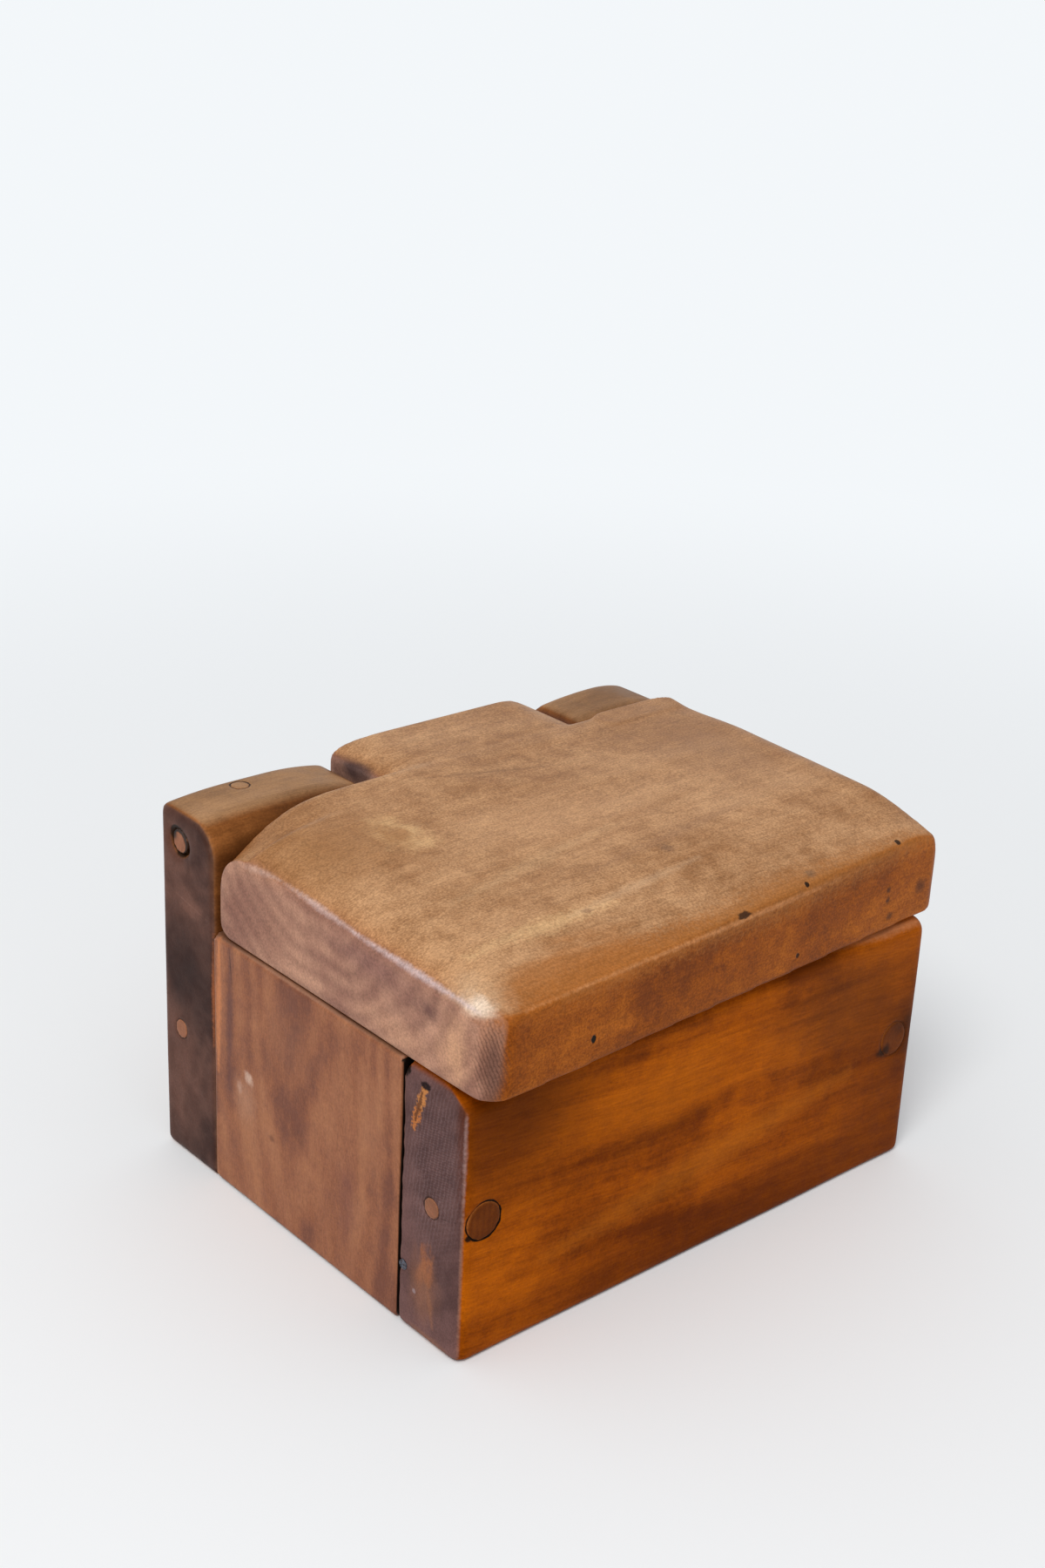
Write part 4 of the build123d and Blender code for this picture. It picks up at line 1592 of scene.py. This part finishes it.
@dataclass
class Pegs:
    """The dowels, cross pins, hinge pin, lock peg, bottom pegs and nail."""

    corners: tuple[str, ...] = ("front_left", "front_right", "back_left", "back_right")

    def dowel_finish(self) -> Wood:
        """Gives the brown turned wood of the dowels, which shows its end grain.

        Returns:
            The wood of the dowels.
        """
        return Wood(
            name="dowel_wood",
            grain=Axis.Y,
            pith=(0.0, 97.0, 50.0),
            light=stain(150, 84, 34),
            middle=stain(124, 66, 24),
            dark=stain(92, 48, 18),
            end_light=stain(132, 66, 12),
            end_dark=stain(94, 43, 6),
            rubbed_and_highlight=stain(150, 92, 44),
            ring_width=2.2,
            waver=3.0,
            specular=0.04,
            marks=(
                Mark((96.0, -83.5, 53.5), (6.5, 3.0, 6.0), stain(64, 30, 12), 0.85, 0.9, 0.9),
                Mark((93.0, -83.5, 49.0), (9.0, 3.0, 9.0), stain(104, 50, 14), 0.7, 0.9, 0.6),
                Mark((90.6, -83.5, 46.8), (3.4, 3.0, 3.0), stain(36, 20, 12), 0.85, 0.8, 0.9),
            ),
        )

    def pin_finish(self) -> Wood:
        """Gives the light orange-tan wood of the cross pins and the hinge pin.

        Returns:
            The wood of the pins.
        """
        return Wood(
            name="pin_wood",
            grain=Axis.X,
            pith=(0.0, -70.0, 54.0),
            light=stain(160, 104, 72),
            middle=stain(142, 90, 62),
            dark=stain(112, 72, 50),
            end_light=stain(150, 94, 64),
            end_dark=stain(122, 76, 52),
            rubbed_and_highlight=stain(170, 118, 88),
            ring_width=1.6,
            waver=2.0,
            marks=(
                Ring((-106.0, 73.1, 121.4), (0.0, 1.0, 1.0), 4.3, BLACK, 1.1, 0.9),
                Mark((-106.0, 76.8, 124.6), (3.0, 3.6, 5.0), BLACK, 0.95, 0.6, 0.4),
            ),
        )

    def lock_finish(self) -> Wood:
        """Gives the tan wood of the lock peg, worn with the ear round it.

        Returns:
            The wood of the lock peg.
        """
        return replace(
            self.dowel_finish(),
            name="lock_wood",
            grain=Axis.Z,
            end_light=stain(170, 128, 92),
            end_dark=stain(146, 106, 72),
            rubbed_and_highlight=stain(172, 130, 96),
        )

    def build(self) -> list[bpy.types.Object]:
        """Makes the pegs and pins and dresses them.

        Returns:
            The finished pegs and pins, and the CAD nodes that keep their shape.
        """
        dowel_wood, pin_wood = self.dowel_finish().material(), self.pin_finish().material()
        dowels = {f"{corner}_dowel": dowel_wood for corner in self.corners}
        dowels["hinge_lock_peg"] = self.lock_finish().material()
        pieces = []
        for node, wood in dowels.items():
            skin = Skin(node, Body.BOX, "dowel_wood", 0.55, 1, unevenness=0.12, swell=5.0)
            pieces.append(skin.build(wood))
        for node in (*(f"{corner}_cross_pin" for corner in self.corners), "hinge_pin"):
            skin = Skin(node, Body.BOX, "pin_wood", 0.5, 1, unevenness=0.1, swell=4.0)
            pieces.append(skin.build(pin_wood))
        pieces.append(dress(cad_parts["bottom_pegs"], dowel_wood))
        pieces.append(dress(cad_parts["end_nail"], Iron().material()))
        return pieces


# ---------------------------------------------------------------------------
# Studio
# ---------------------------------------------------------------------------


@dataclass(frozen=True)
class Lamp:
    """One soft round lamp, in metres and watts."""

    name: str
    place: Triple
    aim: Triple
    size: float
    power: float
    colour: Colour

    def hang(self) -> None:
        """Hangs the lamp and points it."""
        data = bpy.data.lights.new(self.name, "AREA")
        data.shape = "DISK"
        data.size = self.size
        data.energy = self.power
        data.color = self.colour
        lamp = put(self.name, data)
        lamp.location = self.place
        lamp.rotation_euler = (Vector(self.aim) - Vector(self.place)).to_track_quat("-Z", "Y").to_euler()


@dataclass
class Studio:
    """A pale floor, soft daylight from the left and the camera."""

    eye: Triple = (-467.3, -507.5, 426.1)  # millimetres
    turn: float = 41.69  # degrees to the right of straight ahead
    tilt: float = 22.37  # degrees down
    lean: float = 2.63
    lens: float = 50.0
    sensor: float = 36.0
    nearest: float = 0.01  # metres
    floor_colour: Colour = (0.88, 0.885, 0.89)
    floor_roughness: float = 0.7
    floor_specular: float = 0.2
    floor_size: float = 8.0  # metres to each side
    floor_cells: int = 16
    floor_drop: float = 0.1 * MM
    floor_fade: Pair = (0.25, 1.0)  # metres from the middle over which it turns into the backdrop
    sky_colour: Colour = (0.90, 0.93, 0.955)
    sky_bright: Triple = (-0.45, 0.0, 0.9)  # where the light all round is brightest
    sky_levels: tuple[float, ...] = (-0.8, 1.0, 0.25, 0.78)  # the direction's band, then the light it gives
    window: Lamp = Lamp("window", (-1.9, -1.2, 2.9), (0.0, 0.0, 0.08), 1.6, 64.0, (1.0, 0.985, 0.97))

    def camera(self) -> None:
        """Places the camera."""
        yaw, pitch, roll = (radians(angle) for angle in (self.turn, self.tilt, self.lean))
        ahead = Vector((sin(yaw) * cos(pitch), cos(yaw) * cos(pitch), -sin(pitch)))
        level = Vector((cos(yaw), -sin(yaw), 0.0))
        upright = level.cross(ahead)
        right = cos(roll) * level + sin(roll) * upright
        up = -sin(roll) * level + cos(roll) * upright
        data = bpy.data.cameras.new("camera")
        data.sensor_fit = "VERTICAL"
        data.sensor_height = self.sensor
        data.lens = self.lens
        data.clip_start = self.nearest
        camera = put("camera", data)
        matrix = Matrix((right, up, -ahead)).transposed().to_4x4()
        matrix.translation = Vector(self.eye) * MM
        camera.matrix_world = matrix
        bpy.context.scene.camera = camera

    def in_view(self, graph: Graph) -> Socket:
        """Tells the rays that show a backdrop from those that only light things.

        Args:
            graph: The material's or the world's graph.

        Returns:
            A socket that is 1 for the camera, in reflections and through glass.
        """
        path = graph.add("ShaderNodeLightPath").outputs
        mirrored = graph.maths("ADD", path["Is Camera Ray"], path["Is Glossy Ray"], clamp=True)
        return graph.maths("ADD", mirrored, path["Is Transmission Ray"], clamp=True)

    def floor(self) -> None:
        """Lays the pale floor, which turns into the backdrop away from the middle."""
        mesh = bmesh.new()
        cells = self.floor_cells
        bmesh.ops.create_grid(mesh, x_segments=cells, y_segments=cells, size=self.floor_size)
        data = bpy.data.meshes.new("floor")
        mesh.to_mesh(data)
        mesh.free()
        floor = put("floor", data)
        floor.location.z = -self.floor_drop
        material = bpy.data.materials.new("floor_paint")
        material.use_nodes = True
        graph = Graph(material.node_tree)
        paint = material.node_tree.nodes["Principled BSDF"]
        graph.feed(paint.inputs["Base Color"], self.floor_colour)
        graph.feed(paint.inputs["Roughness"], self.floor_roughness)
        graph.feed(paint.inputs["Specular IOR Level"], self.floor_specular)
        away = graph.vector("LENGTH", graph.coordinate("Object"))
        clear = graph.add("ShaderNodeEmission", {"Color": self.sky_colour, "Strength": 1.0})
        fade = graph.maths("MULTIPLY", graph.span(away, *self.floor_fade), self.in_view(graph))
        shown = graph.add("ShaderNodeMixShader", {0: fade, 1: paint.outputs["BSDF"], 2: clear.outputs[0]})
        output = material.node_tree.nodes["Material Output"]
        graph.feed(output.inputs["Surface"], shown.outputs["Shader"])
        data.materials.append(material)

    def sky(self) -> None:
        """Sets soft light all round, brighter from above and the left, behind a pale background."""
        world = bpy.data.worlds.new("sky")
        bpy.context.scene.world = world
        world.use_nodes = True
        world.node_tree.nodes.clear()
        graph = Graph(world.node_tree)
        along = graph.vector("DOT_PRODUCT", graph.coordinate("Generated"), self.sky_bright)
        level = graph.span(along, *self.sky_levels)
        lit = graph.add("ShaderNodeBackground", {"Color": self.sky_colour, "Strength": level})
        seen = graph.add("ShaderNodeBackground", {"Color": self.sky_colour, "Strength": 1.0})
        feeds = {0: self.in_view(graph), 1: lit.outputs[0], 2: seen.outputs[0]}
        shown = graph.add("ShaderNodeMixShader", feeds)
        output = graph.add("ShaderNodeOutputWorld")
        graph.feed(output.inputs["Surface"], shown.outputs[0])

    def build(self) -> None:
        """Sets up the floor, the light and the camera."""
        self.camera()
        self.floor()
        self.sky()
        self.window.hang()
        bpy.context.scene.view_settings.view_transform = "Standard"


def main() -> None:
    """Builds the sub-assemblies in order."""
    logging.basicConfig(level=logging.INFO, format="%(name)s %(message)s")
    Studio().build()
    for assembly in (FrontWall(), BackWall(), SideWalls(), Lid(), Pegs()):
        names = ", ".join(piece.name for piece in assembly.build())
        log.info("%s: %s", type(assembly).__name__, names)


if __name__ == "__main__":
    main()
